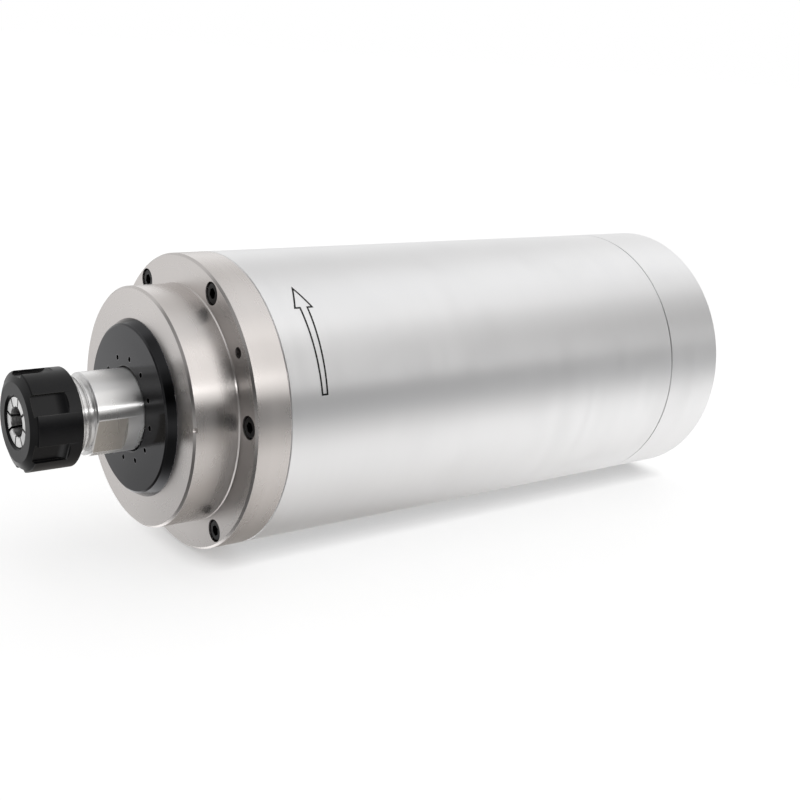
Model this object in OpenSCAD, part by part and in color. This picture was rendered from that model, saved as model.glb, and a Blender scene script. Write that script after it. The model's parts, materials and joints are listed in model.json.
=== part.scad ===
// Water-cooled high-speed motor spindle with a collet nose.
// Its axis is X, the nose points to -X, and X = 0 is the mouth of the collet. Sizes are in millimetres.
// A clock angle is taken about the axis from straight up, and turns towards -Y.

/* [Housing] */
// Diameter of the flange, the body tube and the rear cap
body_d = 125; // [120:1:135]
// Length from the front cover's rim to the back of the rear cap
housing_length = 298; // [292:1:320]
// Thickness of the front flange
flange_t = 16; // [13:0.5:20]
// Step from the boss out to the rim of the flange
flange_step = 12.5; // [11:0.5:17]
// Length of the boss
boss_length = 20; // [16:0.5:24]
// Length of the rear cap
rear_cap_length = 36; // [32:1:44]
// Length of the rear bearing housing
rear_housing_length = 59; // [54:0.5:70]
// Wall of the body tube
tube_wall = 10.5; // [10:0.1:11]
// Chamfer on the housing's outer edges
edge_chamfer = 0.8; // [0.4:0.1:1.5]
// Chamfer on the back edge of the rear cap
cap_chamfer = 2; // [1:0.5:4]

/* [Screws] */
// Cap screws in the flange and in the rear cap
flange_screw_count = 6; // [4:2:8]
// Distance of a cap screw from the rim of the flange and of the rear cap
screw_edge = 6; // [5.5:0.25:6.5]
// Clock angle of the first cap screw
screw_clock = 25; // [0:1:59]
// Thread diameter of the cap screws
screw_d = 5; // [4:1:5]
// Diameter of a counterbore for a cap screw
counterbore_d = 9.5; // [9:0.1:10]
// Depth of a cap screw's thread in the body tube
screw_grip = 14; // [10:1:20]
// Diameter of the flange's two jack holes
jack_hole_d = 4.5; // [3:0.5:6]

/* [Front cover] */
// Diameter of the front cover at the boss
cover_d = 74; // [70:1:80]
// Diameter of the front cover's face
cover_face_d = 70; // [64:1:69.5]
// Thickness of the front cover's rim
cover_t = 4; // [3:0.5:6]
// Rise of the front cover's face from its rim to its bore
cover_rise = 0.5; // [0.2:0.1:3]
// Purge holes in the front cover
purge_hole_count = 12; // [6:1:16]
// Circle of the purge holes
purge_pcd = 43; // [42:0.5:46]
// Diameter of a purge hole
purge_hole_d = 2.2; // [1.5:0.1:3]
// Clock angle of the first purge hole
purge_clock = 6; // [0:1:29]

/* [Shaft nose] */
// Diameter of the shaft's nose
nose_d = 34; // [33:0.5:34.5]
// Length of the nose between the front cover's rim and the nut's thread
nose_length = 20.3; // [18:0.1:26]
// Across the spanner flats
flat_across = 30; // [28:0.5:32]
// Length of the spanner flats
flat_length = 13; // [8:0.5:15]
// Clock angle of the first spanner flat
flat_clock = 112; // [0:1:180]
// Thread diameter of the nose
nose_thread_d = 32; // [31:0.5:32.5]
// Thread left bare between the nut and the nose
bare_thread = 6.7; // [4:0.1:9]
// Diameter of the tool clearance bore behind the collet
tool_bore_d = 16.5; // [14:0.5:18]

/* [Collet and nut] */
// Bore of the collet
collet_bore_d = 12; // [6:0.5:14]
// Length of the collet
collet_length = 34; // [33:0.5:36]
// Largest diameter of the collet
collet_d = 26; // [25.5:0.1:26.2]
// Half angle of the collet's long taper
collet_half_angle = 8; // [7.5:0.1:8.5]
// Diameter of the collet's face
collet_face_d = 19.8; // [18:0.1:20.5]
// Slots that open at each end of the collet
collet_slot_count = 8; // [4:1:10]
// Width of a collet slot
collet_slot_w = 1; // [0.6:0.1:1.4]
// Clock angle of the first front slot of the collet
collet_clock = 10; // [0:1:44]
// Diameter of the collet nut
nut_d = 40; // [38:0.5:46]
// Length of the collet nut
nut_length = 20; // [18:0.5:24]
// Spanner slots in the collet nut
nut_slot_count = 6; // [4:1:8]
// Width of a spanner slot
nut_slot_w = 8.5; // [5:0.5:9]
// Depth of a spanner slot
nut_slot_depth = 1.8; // [1:0.1:2.5]
// Clock angle of the first spanner slot
nut_slot_clock = 56; // [0:1:59]

/* [Bearings] */
// Bore of the front bearings
front_bore_d = 35; // [34.6:0.1:35.5]
// Outer diameter of the front bearings
front_outer_d = 62; // [61:0.5:63]
// Width of a front bearing
front_width = 14; // [13:0.5:15]
// Balls in a front bearing
front_ball_count = 15; // [12:1:15]
// Diameter of a front ball as a share of the mean of its bearing's section and width
front_ball_share = 0.64; // [0.58:0.005:0.65]
// Length of the spacers between the front bearings
front_spacer_length = 10; // [6:0.5:12]
// Bore of the rear bearings
rear_bore_d = 30; // [29:0.5:31]
// Outer diameter of the rear bearings
rear_outer_d = 55; // [54:0.5:56]
// Width of a rear bearing
rear_width = 13; // [12:0.5:14]
// Balls in a rear bearing
rear_ball_count = 14; // [11:1:14]
// Diameter of a rear ball as a share of the mean of its bearing's section and width
rear_ball_share = 0.63; // [0.56:0.005:0.65]

/* [Motor] */
// Diameter of the rotor
rotor_d = 52; // [50:0.5:53]
// Gap between the rotor and the stator
air_gap = 0.4; // [0.3:0.05:0.6]
// Stator slots
stator_slot_count = 24; // [18:6:24]
// Width of a stator slot
stator_slot_w = 4; // [3:0.1:4.2]
// Depth of a stator slot as a share of the stack behind the slot's mouth
stator_slot_share = 0.517; // [0.4:0.001:0.57]
// Reach of the windings past the stack
end_turn_length = 20; // [16:0.5:21]
// Rotor bars
rotor_bar_count = 28; // [20:1:30]
// Diameter of a rotor bar
rotor_bar_d = 3.4; // [2.5:0.1:3.8]
// Length of a rotor end ring
end_ring_length = 8; // [6:0.5:9]
// Length of a balance ring
balance_ring_length = 7; // [5:0.5:8]

/* [Cooling] */
// Wall of the water jacket
jacket_t = 7; // [6.5:0.1:8]
// Depth of the water channels in the jacket
channel_depth = 4.4; // [3.5:0.1:4.6]
// Channels round the jacket
channel_count = 10; // [8:2:10]
// Width of a rib between two channels
channel_rib_w = 4; // [3:0.5:6]
// Diameter of a hose spigot
hose_spigot_d = 8; // [7:0.5:9]
// Length of a water nipple behind the cap
nipple_length = 23; // [20:1:26]

/* [Connector] */
// Outer diameter of the connector's shell
connector_d = 20; // [18:0.5:22]
// Length of the connector behind the cap
connector_length = 15.5; // [14:0.5:20]
// Circle of the connector's pins
pin_pcd = 10; // [9:0.5:11]
// Diameter of a connector pin
pin_d = 2.5; // [2:0.1:2.8]

/* [Clearances] */
// Radial gap of a seat or thread whose two sides don't move apart
seat_gap = 0.05; // [0.03:0.01:0.08]
// Radial gap of a running labyrinth
labyrinth_gap = 0.4; // [0.3:0.05:0.6]
// Gap between the collet and its cones
cone_gap = 0.15; // [0.1:0.01:0.2]
// Gap between a ball and its races
ball_gap = 0.08; // [0.05:0.01:0.1]

/* [Hidden] */
$fn = 72;
eps = 0.01;

body_r = body_d / 2;
boss_r = body_r - flange_step;
bore_r = body_r - tube_wall;
spigot_r = bore_r - seat_gap;
screw_r = screw_d / 2;
screw_circle = body_r - screw_edge;
head_r = counterbore_d / 2 - 0.4;
head_h = screw_d;
head_sink = 0.5;
counterbore_depth = head_h + head_sink;

// Nut and collet along the axis
nut_proud = 0.8;
nut_x = -nut_proud;
nut_back_x = nut_x + nut_length;
shaft_end_x = 8;
shoulder_x = nut_back_x + bare_thread;

// Housing along the axis
cover_x = shoulder_x + nose_length;
boss_x = cover_x + cover_t;
flange_x = boss_x + boss_length;
tube_x = flange_x + flange_t;
cap_back_x = cover_x + housing_length;
cap_x = cap_back_x - rear_cap_length;
cap_spigot = 4.5;
rear_housing_end_x = cap_x - cap_spigot;
rear_housing_x = rear_housing_end_x - rear_housing_length;

// Front bearings along the axis
nose_r = nose_d / 2;
front_bore_r = front_bore_d / 2;
front_outer_r = front_outer_d / 2;
front_pitch_r = (front_bore_r + front_outer_r) / 2;
front_ball_r = front_ball_share * (front_outer_r - front_bore_r + front_width) / 4;
gland_depth = 8.5;
gland_r = front_outer_r + 2;
front_a_x = boss_x + gland_depth;
front_spacer_x = front_a_x + front_width;
front_b_x = front_spacer_x + front_spacer_length;
front_nut_x = front_b_x + front_width;
front_nut_length = 8;
land_h = 3.7;
cage_t = 3.2;
front_lip_t = 3;
front_lip_r = front_outer_r - 3;
front_nut_r = front_pitch_r + 0.75;

// Motor along the axis
winding_clearance = 3;
front_recess_depth = 11;
jacket_reach = 12;
front_recess_x = front_nut_x + front_lip_t;
spigot_end_x = front_recess_x + front_recess_depth;
stack_x = front_recess_x + winding_clearance + end_turn_length;
stack_end_x = rear_housing_x - jacket_reach;
stack_length = stack_end_x - stack_x;
rotor_r = rotor_d / 2;
rotor_bore_r = front_bore_r - 0.5;
stator_bore_r = rotor_r + air_gap;
stator_r = bore_r - jacket_t;
slot_mouth_w = 1.6;
slot_mouth_h = 1.2;
slot_r = stator_bore_r + slot_mouth_h;
stator_slot_depth = stator_slot_share * (stator_r - slot_r);
winding_gap = 0.25;
end_turn_in_r = stator_bore_r + 1.4;
end_turn_out_r = end_turn_in_r + stator_slot_depth + 1.6;
end_turn_round = 3;
recess_r = end_turn_out_r + 3.6;
end_ring_in_r = rotor_bore_r + 2.5;
end_ring_out_r = rotor_r - 0.5;
bar_circle = rotor_r - 3.2;
balance_out_r = rotor_r - 1.5;
balance_hole_count = 12;
balance_hole_r = 1.6;

// Water jacket along the axis
jacket_x = spigot_end_x;
jacket_collar = 6;
channel_x = jacket_x + jacket_collar;
channel_end_x = rear_housing_x - jacket_collar;
channel_floor_r = bore_r - channel_depth;
channel_turn = 8;
water_circle = bore_r - 4.2;
water_hole_r = 1.8;
screw_step = 360 / flange_screw_count;
inlet_clock = screw_clock - 1.5 * screw_step;
outlet_clock = inlet_clock - screw_step;
water_clocks = [inlet_clock, outlet_clock];

// Rear bearings along the axis
rear_bore_r = rear_bore_d / 2;
rear_outer_r = rear_outer_d / 2;
rear_pitch_r = (rear_bore_r + rear_outer_r) / 2;
rear_ball_r = rear_ball_share * (rear_outer_r - rear_bore_r + rear_width) / 4;
bearing_cover_t = 5;
bearing_cover_r = rear_outer_r + 6.5;
cover_screw_count = 6;
cover_screw_circle = rear_outer_r + 3.2;
cover_screw_r = 1.5;
cover_head_r = 2.7;
cover_head_h = 2;
cover_screw_grip = 7;
bearing_cover_x = rear_housing_end_x - bearing_cover_t - 2.5;
spring_h = 3.4;
rear_b_x = bearing_cover_x - spring_h - rear_width;
rear_a_x = rear_b_x - rear_width;
rear_nut_length = 8;
rear_nut_x = rear_b_x + rear_width;
rear_nut_r = rear_bore_r + 6;
rear_lip_t = 6;
rear_lip_r = rear_bore_r + 7;
shaft_back_x = rear_nut_x + rear_nut_length + 3;
rear_recess_depth = 11;

// Rear cap
cap_wall = 14;
cap_recess_x = cap_back_x - cap_wall;
nipple_seat_depth = 11.5;
nipple_thread_r = 4.8;
nipple_bore_r = 2.2;
spigot_hose_r = hose_spigot_d / 2;
connector_r = connector_d / 2;
connector_wall = 1.8;
insert_r = connector_r - connector_wall;
insert_back = 6.5;
pin_reach = 6;
connector_nut_t = 4;
shell_x = cap_recess_x - connector_nut_t - 1;
lead_r = 1.4;
lead_circle = end_turn_out_r + lead_r + 0.25;
lead_x = rear_housing_x + 0.5;
cap_recess_r = lead_circle + lead_r + 1.55;
lead_turn_x = shell_x - lead_r - 0.5;
lead_clocks = [45, 135, 225];
pin_clocks = [45, 135, 225, 315];

// O-rings
groove_w = 2.4;
groove_depth = 1.6;
ring_section_r = 0.8;
front_ring_x = tube_x + 5;
jacket_ring_x = jacket_x + 1.5;
rear_ring_x = rear_housing_x + 3.5;
cap_ring_x = rear_housing_end_x + 0.9;

steel = [0.62, 0.58, 0.56];
bright = [0.84, 0.85, 0.87];
black = [0.13, 0.13, 0.14];
nickel = [0.66, 0.62, 0.60];
aluminium = [0.82, 0.83, 0.84];
copper = [0.72, 0.40, 0.22];
rubber = [0.10, 0.10, 0.10];
phenolic = [0.55, 0.38, 0.20];
silicon_steel = [0.36, 0.38, 0.42];

// Puts what is drawn along +Z on the spindle's axis, starting at x
module along(x) {
    translate([x, 0, 0]) rotate([0, 90, 0]) children();
}

// Places a child at a clock angle and radius, inside along()
module at_clock(angle, r) {
    rotate([0, 0, angle + 180]) translate([r, 0, 0]) children();
}

// Turns a profile of [x, radius] points about the spindle's axis
module revolve(profile) {
    rotate([0, 90, 0]) rotate_extrude() polygon([for (p = profile) [p[1], p[0]]]);
}

// A plain ring from x0 to x1 between two radii
module ring(x0, x1, r0, r1) {
    revolve([[x0, r0], [x0, r1], [x1, r1], [x1, r0]]);
}

// A round hole along the axis at a clock angle
module hole(x0, x1, angle, circle_r, r) {
    along(x0) at_clock(angle, circle_r) cylinder(h = x1 - x0, r = r, $fn = 32);
}

// A torus about the axis
module torus(x, r, section_r) {
    along(x) rotate_extrude() translate([r, 0]) circle(r = section_r, $fn = 24);
}

// A section with round corners, drawn as [radius, x] for rotate_extrude
module rounded_section(r0, r1, x0, x1, round_r) {
    translate([r0 + round_r, x0]) square([r1 - r0 - 2 * round_r, x1 - x0]);
    translate([r0, x0 + round_r]) square([r1 - r0, x1 - x0 - 2 * round_r]);
    for (r = [r0 + round_r, r1 - round_r], x = [x0 + round_r, x1 - round_r])
        translate([r, x]) circle(r = round_r, $fn = 32);
}

// A socket-head cap screw whose head starts at x and whose shank points along +X or -X
module cap_screw(x, angle, circle_r, shank, direction) {
    socket_r = head_r * 0.55;
    along(x) at_clock(angle, circle_r) mirror([0, 0, direction > 0 ? 0 : 1]) difference() {
        union() {
            cylinder(h = head_h, r = head_r, $fn = 32);
            cylinder(h = head_h + shank, r = screw_r, $fn = 32);
        }
        translate([0, 0, -eps]) cylinder(h = head_h / 2, r = socket_r, $fn = 6);
    }
}

function screw_clocks(count) = [for (i = [0 : count - 1]) screw_clock + i * 360 / count];

// Collet, nut and shaft

function collet_r(x) = collet_d / 2 - tan(collet_half_angle) * max(0, x - shaft_end_x);

front_cone_x = 3.6;
groove_end_x = 6;
groove_r = 10.8;
front_cone_slope = tan(30);
front_cone_r = collet_face_d / 2 + front_cone_slope * front_cone_x;

module collet() {
    slot_end = collet_length * 0.82;
    color(bright) difference() {
        revolve([[0, collet_bore_d / 2], [0, collet_face_d / 2], [front_cone_x, front_cone_r],
            [front_cone_x, groove_r], [groove_end_x, groove_r], [groove_end_x, collet_d / 2 - 0.4],
            [groove_end_x + 0.5, collet_d / 2], [shaft_end_x, collet_d / 2],
            [collet_length - 0.6, collet_r(collet_length - 0.6)],
            [collet_length, collet_r(collet_length) - 0.6], [collet_length, collet_bore_d / 2]]);
        for (i = [0 : collet_slot_count - 1]) {
            clock = collet_clock + i * 360 / collet_slot_count;
            along(-1) at_clock(clock, 0)
                translate([0, -collet_slot_w / 2, 0]) cube([collet_d, collet_slot_w, slot_end + 1]);
            along(collet_length - slot_end) at_clock(clock + 180 / collet_slot_count, 0)
                translate([0, -collet_slot_w / 2, 0]) cube([collet_d, collet_slot_w, slot_end + 1]);
        }
    }
}

ring_x = front_cone_x + 0.25;
ring_end_x = groove_end_x - 0.3;
ring_out_r = 14;

module eccentric_ring() {
    in_r = groove_r + 0.2;
    color(steel) revolve([[ring_x, in_r], [ring_x, ring_out_r - 0.3], [ring_x + 0.3, ring_out_r],
        [ring_end_x, ring_out_r], [ring_end_x, in_r]]);
}

module collet_nut() {
    mouth_r = collet_face_d / 2 + 0.4;
    cone_x = 0.4;
    cone_r0 = collet_face_d / 2 + front_cone_slope * cone_x + cone_gap / cos(30);
    cone_end_x = ring_x - 0.15;
    cone_r1 = collet_face_d / 2 + front_cone_slope * cone_end_x + cone_gap / cos(30);
    ring_seat_r = ring_out_r + 0.2;
    lip_r = ring_out_r - 0.5;
    lip_x = ring_end_x + 0.2;
    thread_r = nose_thread_d / 2 + seat_gap;
    relief_r = thread_r + 0.4;
    face_r = nut_d / 2 - 4.2;
    front_cone = 1.8;
    back_chamfer = 0.4;
    slot_run = nut_length * 0.5;
    run_out_r = 8;
    color(black) difference() {
        revolve([[nut_x, mouth_r + 0.8], [nut_x, face_r], [nut_x + front_cone, nut_d / 2],
            [nut_back_x - back_chamfer, nut_d / 2], [nut_back_x, nut_d / 2 - back_chamfer],
            [nut_back_x, relief_r], [nut_back_x - 1, thread_r], [shaft_end_x + 1.4, thread_r],
            [shaft_end_x + 1.2, relief_r],
            [shaft_end_x - 0.3, relief_r], [shaft_end_x - 0.3, lip_r], [lip_x, lip_r], [lip_x, ring_seat_r],
            [cone_end_x, ring_seat_r], [cone_end_x, cone_r1], [cone_x, cone_r0], [cone_x, mouth_r],
            [nut_x + 0.8, mouth_r]]);
        for (i = [0 : nut_slot_count - 1])
            along(nut_x) at_clock(nut_slot_clock + i * 360 / nut_slot_count, nut_d / 2 - nut_slot_depth) {
                translate([0, -nut_slot_w / 2, -1]) cube([nut_d, nut_slot_w, slot_run + 1]);
                translate([run_out_r, nut_slot_w / 2, slot_run])
                    rotate([90, 0, 0]) cylinder(h = nut_slot_w, r = run_out_r, $fn = 64);
            }
    }
}

flinger_x = boss_x + 1;
flinger_r = front_nut_r - labyrinth_gap;
labyrinth_r = flinger_r + labyrinth_gap;
fin_depth = 2;

module spindle_shaft() {
    thread_r = nose_thread_d / 2;
    relief_r = thread_r - 1;
    taper_r = collet_d / 2 + cone_gap;
    taper_end_x = collet_length + 1;
    taper_end_r = taper_r - tan(collet_half_angle) * (taper_end_x - shaft_end_x);
    tool_end_x = front_a_x + front_width;
    fin_w = (front_a_x - flinger_x) / 5;
    color(bright) difference() {
        revolve([[shaft_end_x, taper_r + 0.5], [shaft_end_x, thread_r - 0.8], [shaft_end_x + 0.8, thread_r],
            [shoulder_x - 1.8, thread_r], [shoulder_x - 1.3, relief_r], [shoulder_x, relief_r],
            [shoulder_x, nose_r - 0.6], [shoulder_x + 0.6, nose_r], [flinger_x, nose_r],
            [flinger_x, flinger_r], [flinger_x + fin_w, flinger_r],
            [flinger_x + fin_w, flinger_r - fin_depth],
            [flinger_x + 2 * fin_w, flinger_r - fin_depth], [flinger_x + 2 * fin_w, flinger_r],
            [flinger_x + 3 * fin_w, flinger_r], [flinger_x + 3 * fin_w, flinger_r - fin_depth],
            [flinger_x + 4 * fin_w, flinger_r - fin_depth], [front_a_x, front_bore_r + land_h - 0.6],
            [front_a_x, front_bore_r], [front_nut_x + front_nut_length + 2, front_bore_r],
            [front_nut_x + front_nut_length + 2, rotor_bore_r], [rear_a_x, rotor_bore_r],
            [rear_a_x, rear_bore_r], [shaft_back_x - 1, rear_bore_r], [shaft_back_x, rear_bore_r - 1],
            [shaft_back_x, 0], [tool_end_x + tool_bore_d / 4, 0], [tool_end_x, tool_bore_d / 2],
            [taper_end_x + 2, tool_bore_d / 2], [taper_end_x + 2, taper_end_r + 0.3],
            [taper_end_x, taper_end_r + 0.3], [taper_end_x, taper_end_r], [shaft_end_x + 0.4, taper_r]]);
        for (side = [0, 180])
            along(shoulder_x - 1) at_clock(flat_clock + side, flat_across / 2)
                translate([0, -nose_d / 2, 0]) cube([nose_d, nose_d, flat_length + 1]);
    }
}

// Front cover and housing

module front_cover() {
    bore = nose_r + labyrinth_gap;
    color(black) difference() {
        revolve([[cover_x - cover_rise, bore + 0.5], [cover_x, cover_face_d / 2 - 1],
            [cover_x + 0.5, cover_face_d / 2], [boss_x, cover_d / 2], [boss_x, gland_r - seat_gap],
            [front_a_x, gland_r - seat_gap], [front_a_x, labyrinth_r], [boss_x, labyrinth_r],
            [boss_x, bore], [cover_x - cover_rise + 0.5, bore]]);
        for (i = [0 : purge_hole_count - 1])
            hole(cover_x - cover_rise - 1, boss_x + 1, purge_clock + i * 360 / purge_hole_count,
                purge_pcd / 2, purge_hole_d / 2);
    }
}

module o_ring_groove(x) {
    ring(x, x + groove_w, spigot_r - groove_depth, spigot_r + 1);
}

module front_housing() {
    notch_r = 1;
    notch_clock = 85;
    color(nickel) difference() {
        revolve([[boss_x, gland_r], [boss_x, boss_r - 1], [boss_x + 1, boss_r], [flange_x, boss_r],
            [flange_x, body_r - edge_chamfer], [flange_x + edge_chamfer, body_r], [tube_x - 0.3, body_r],
            [tube_x, body_r - 0.3], [tube_x, spigot_r], [spigot_end_x - 1, spigot_r],
            [spigot_end_x, spigot_r - 1], [spigot_end_x, recess_r], [front_recess_x, recess_r],
            [front_recess_x, front_lip_r], [front_nut_x, front_lip_r],
            [front_nut_x, front_outer_r + seat_gap], [front_a_x, front_outer_r + seat_gap],
            [front_a_x, gland_r]]);
        for (clock = screw_clocks(flange_screw_count)) {
            hole(flange_x - 1, flange_x + counterbore_depth, clock, screw_circle, counterbore_d / 2);
            hole(flange_x, tube_x + 1, clock, screw_circle, screw_r + seat_gap);
        }
        for (side = [0, 180])
            hole(flange_x - 1, tube_x + 1, screw_clock + 180 / flange_screw_count + side, screw_circle,
                jack_hole_d / 2);
        hole(boss_x - 1, boss_x + 1.5, notch_clock, boss_r, notch_r);
        o_ring_groove(front_ring_x);
    }
}

module front_screws() {
    color(black) for (clock = screw_clocks(flange_screw_count))
        cap_screw(flange_x + head_sink, clock, screw_circle, flange_t - counterbore_depth + screw_grip, 1);
}

module body_tube() {
    color(aluminium) difference() {
        revolve([[tube_x, bore_r + 0.5], [tube_x, body_r - 0.3], [tube_x + 0.3, body_r],
            [cap_x - 0.3, body_r], [cap_x, body_r - 0.3], [cap_x, bore_r + 0.5], [cap_x - 0.5, bore_r],
            [tube_x + 0.5, bore_r]]);
        for (clock = screw_clocks(flange_screw_count)) {
            hole(tube_x - 1, tube_x + screw_grip + 2, clock, screw_circle, screw_r + seat_gap);
            hole(cap_x - screw_grip - 2, cap_x + 1, clock, screw_circle, screw_r + seat_gap);
        }
    }
}

// Bearings

module outer_race(x, width, outer_r, pitch_r, ball_r) {
    land_r = pitch_r + ball_r * 0.72;
    color(steel) difference() {
        revolve([[x, land_r], [x, outer_r - 0.6], [x + 0.6, outer_r], [x + width - 0.6, outer_r],
            [x + width, outer_r - 0.6], [x + width, land_r]]);
        torus(x + width / 2, pitch_r, ball_r + ball_gap);
    }
}

module inner_race(x, width, bore, pitch_r, ball_r) {
    land_r = pitch_r - ball_r * 0.72;
    color(steel) difference() {
        revolve([[x, bore + 0.6], [x, land_r], [x + width, land_r], [x + width, bore + 0.6],
            [x + width - 0.6, bore + seat_gap], [x + 0.6, bore + seat_gap]]);
        torus(x + width / 2, pitch_r, ball_r + ball_gap);
    }
}

module ball_set(x, width, pitch_r, ball_r, count) {
    color(bright) for (i = [0 : count - 1])
        along(x + width / 2) at_clock(i * 360 / count, pitch_r) sphere(r = ball_r, $fn = 32);
}

module ball_cage(x, width, pitch_r, ball_r, count) {
    color(phenolic) difference() {
        ring(x + 1, x + width - 1, pitch_r - cage_t / 2, pitch_r + cage_t / 2);
        for (i = [0 : count - 1])
            along(x + width / 2) at_clock(i * 360 / count, pitch_r - cage_t)
                rotate([0, 90, 0]) cylinder(h = 2 * cage_t, r = ball_r + ball_gap, $fn = 32);
    }
}

module locknut(x, length, bore, outer) {
    slot_w = 6;
    slot_depth = 2;
    color(steel) difference() {
        ring(x, x + length, bore + seat_gap, outer);
        for (clock = [0, 90, 180, 270])
            along(x - 1) at_clock(clock, outer - slot_depth)
                translate([0, -slot_w / 2, 0]) cube([slot_depth + 1, slot_w, length + 2]);
    }
}

module front_outer_ring_a() {
    outer_race(front_a_x, front_width, front_outer_r, front_pitch_r, front_ball_r);
}

module front_outer_ring_b() {
    outer_race(front_b_x, front_width, front_outer_r, front_pitch_r, front_ball_r);
}

module front_inner_ring_a() {
    inner_race(front_a_x, front_width, front_bore_r, front_pitch_r, front_ball_r);
}

module front_inner_ring_b() {
    inner_race(front_b_x, front_width, front_bore_r, front_pitch_r, front_ball_r);
}

module front_balls_a() {
    ball_set(front_a_x, front_width, front_pitch_r, front_ball_r, front_ball_count);
}

module front_balls_b() {
    ball_set(front_b_x, front_width, front_pitch_r, front_ball_r, front_ball_count);
}

module front_cage_a() {
    ball_cage(front_a_x, front_width, front_pitch_r, front_ball_r, front_ball_count);
}

module front_cage_b() {
    ball_cage(front_b_x, front_width, front_pitch_r, front_ball_r, front_ball_count);
}

module front_outer_spacer() {
    color(steel) ring(front_spacer_x, front_b_x, front_outer_r - land_h, front_outer_r);
}

module front_inner_spacer() {
    color(steel) ring(front_spacer_x, front_b_x, front_bore_r + seat_gap, front_bore_r + land_h);
}

module front_locknut() {
    locknut(front_nut_x, front_nut_length, front_bore_r, front_nut_r);
}

module rear_outer_ring_a() {
    outer_race(rear_a_x, rear_width, rear_outer_r, rear_pitch_r, rear_ball_r);
}

module rear_outer_ring_b() {
    outer_race(rear_b_x, rear_width, rear_outer_r, rear_pitch_r, rear_ball_r);
}

module rear_inner_ring_a() {
    inner_race(rear_a_x, rear_width, rear_bore_r, rear_pitch_r, rear_ball_r);
}

module rear_inner_ring_b() {
    inner_race(rear_b_x, rear_width, rear_bore_r, rear_pitch_r, rear_ball_r);
}

module rear_balls_a() {
    ball_set(rear_a_x, rear_width, rear_pitch_r, rear_ball_r, rear_ball_count);
}

module rear_balls_b() {
    ball_set(rear_b_x, rear_width, rear_pitch_r, rear_ball_r, rear_ball_count);
}

module rear_cage_a() {
    ball_cage(rear_a_x, rear_width, rear_pitch_r, rear_ball_r, rear_ball_count);
}

module rear_cage_b() {
    ball_cage(rear_b_x, rear_width, rear_pitch_r, rear_ball_r, rear_ball_count);
}

module rear_locknut() {
    locknut(rear_nut_x, rear_nut_length, rear_bore_r, rear_nut_r);
}

// A ring of flat wire whose crests lean on the outer ring and on the bearing cover
module preload_spring() {
    waves = 4;
    steps = 96;
    wire_t = 0.8;
    in_r = rear_pitch_r + rear_ball_r * 0.72 + 0.3;
    out_r = rear_outer_r - 0.5;
    swing = (spring_h - wire_t) / 2;
    function height(i) = rear_nut_x + swing + swing * sin(waves * i * 360 / steps);
    function spot(i, r, lift) = [height(i) + lift, r * cos(i * 360 / steps), r * sin(i * 360 / steps)];
    points = [for (i = [0 : steps - 1])
        each [spot(i, in_r, 0), spot(i, out_r, 0), spot(i, out_r, wire_t), spot(i, in_r, wire_t)]];
    faces = [for (i = [0 : steps - 1], j = [0 : 3])
        each let (a = 4 * i + j, b = 4 * i + (j + 1) % 4, n = 4 * ((i + 1) % steps))
            [[a, b, n + j], [b, n + (j + 1) % 4, n + j]]];
    color(steel) polyhedron(points, faces);
}

// Motor

module stator_slot(w, depth, r) {
    translate([r, -w / 2]) square([depth - w / 2, w]);
    translate([r + depth - w / 2, 0]) circle(r = w / 2, $fn = 24);
}

module stator_core() {
    color(silicon_steel) along(stack_x) linear_extrude(height = stack_length) difference() {
        circle(r = stator_r - seat_gap);
        circle(r = stator_bore_r);
        for (i = [0 : stator_slot_count - 1]) rotate(i * 360 / stator_slot_count) {
            stator_slot(stator_slot_w, stator_slot_depth, slot_r);
            translate([stator_bore_r - 1, -slot_mouth_w / 2]) square([slot_mouth_h + 2, slot_mouth_w]);
        }
    }
}

module end_turn(x0, x1) {
    rotate([0, 90, 0]) rotate_extrude()
        rounded_section(end_turn_in_r, end_turn_out_r, x0, x1, end_turn_round);
}

module stator_windings() {
    color(copper) {
        along(stack_x - 1) linear_extrude(height = stack_length + 2)
            for (i = [0 : stator_slot_count - 1]) rotate(i * 360 / stator_slot_count)
                stator_slot(stator_slot_w - 2 * winding_gap, stator_slot_depth - 2 * winding_gap,
                    slot_r + winding_gap);
        end_turn(stack_x - end_turn_length, stack_x - 0.5);
        end_turn(stack_end_x + 0.5, stack_end_x + end_turn_length);
    }
}

module rotor_core() {
    color(silicon_steel) along(stack_x) linear_extrude(height = stack_length) difference() {
        circle(r = rotor_r);
        circle(r = rotor_bore_r + seat_gap);
        for (i = [0 : rotor_bar_count - 1]) rotate(i * 360 / rotor_bar_count)
            translate([bar_circle, 0]) circle(r = rotor_bar_d / 2, $fn = 24);
    }
}

module squirrel_cage() {
    color(aluminium) {
        for (i = [0 : rotor_bar_count - 1])
            along(stack_x - 1) rotate([0, 0, i * 360 / rotor_bar_count]) translate([bar_circle, 0, 0])
                cylinder(h = stack_length + 2, r = rotor_bar_d / 2 - seat_gap, $fn = 24);
        ring(stack_x - end_ring_length, stack_x, end_ring_in_r, end_ring_out_r);
        ring(stack_end_x, stack_end_x + end_ring_length, end_ring_in_r, end_ring_out_r);
    }
}

module balance_ring(x) {
    difference() {
        ring(x, x + balance_ring_length, rotor_bore_r + seat_gap, balance_out_r);
        for (i = [0 : balance_hole_count - 1])
            hole(x - 1, x + balance_ring_length + 1, i * 360 / balance_hole_count,
                (rotor_bore_r + balance_out_r) / 2, balance_hole_r);
    }
}

module balance_rings() {
    color("goldenrod") {
        balance_ring(stack_x - end_ring_length - balance_ring_length);
        balance_ring(stack_end_x + end_ring_length);
    }
}

// Cooling

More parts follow.
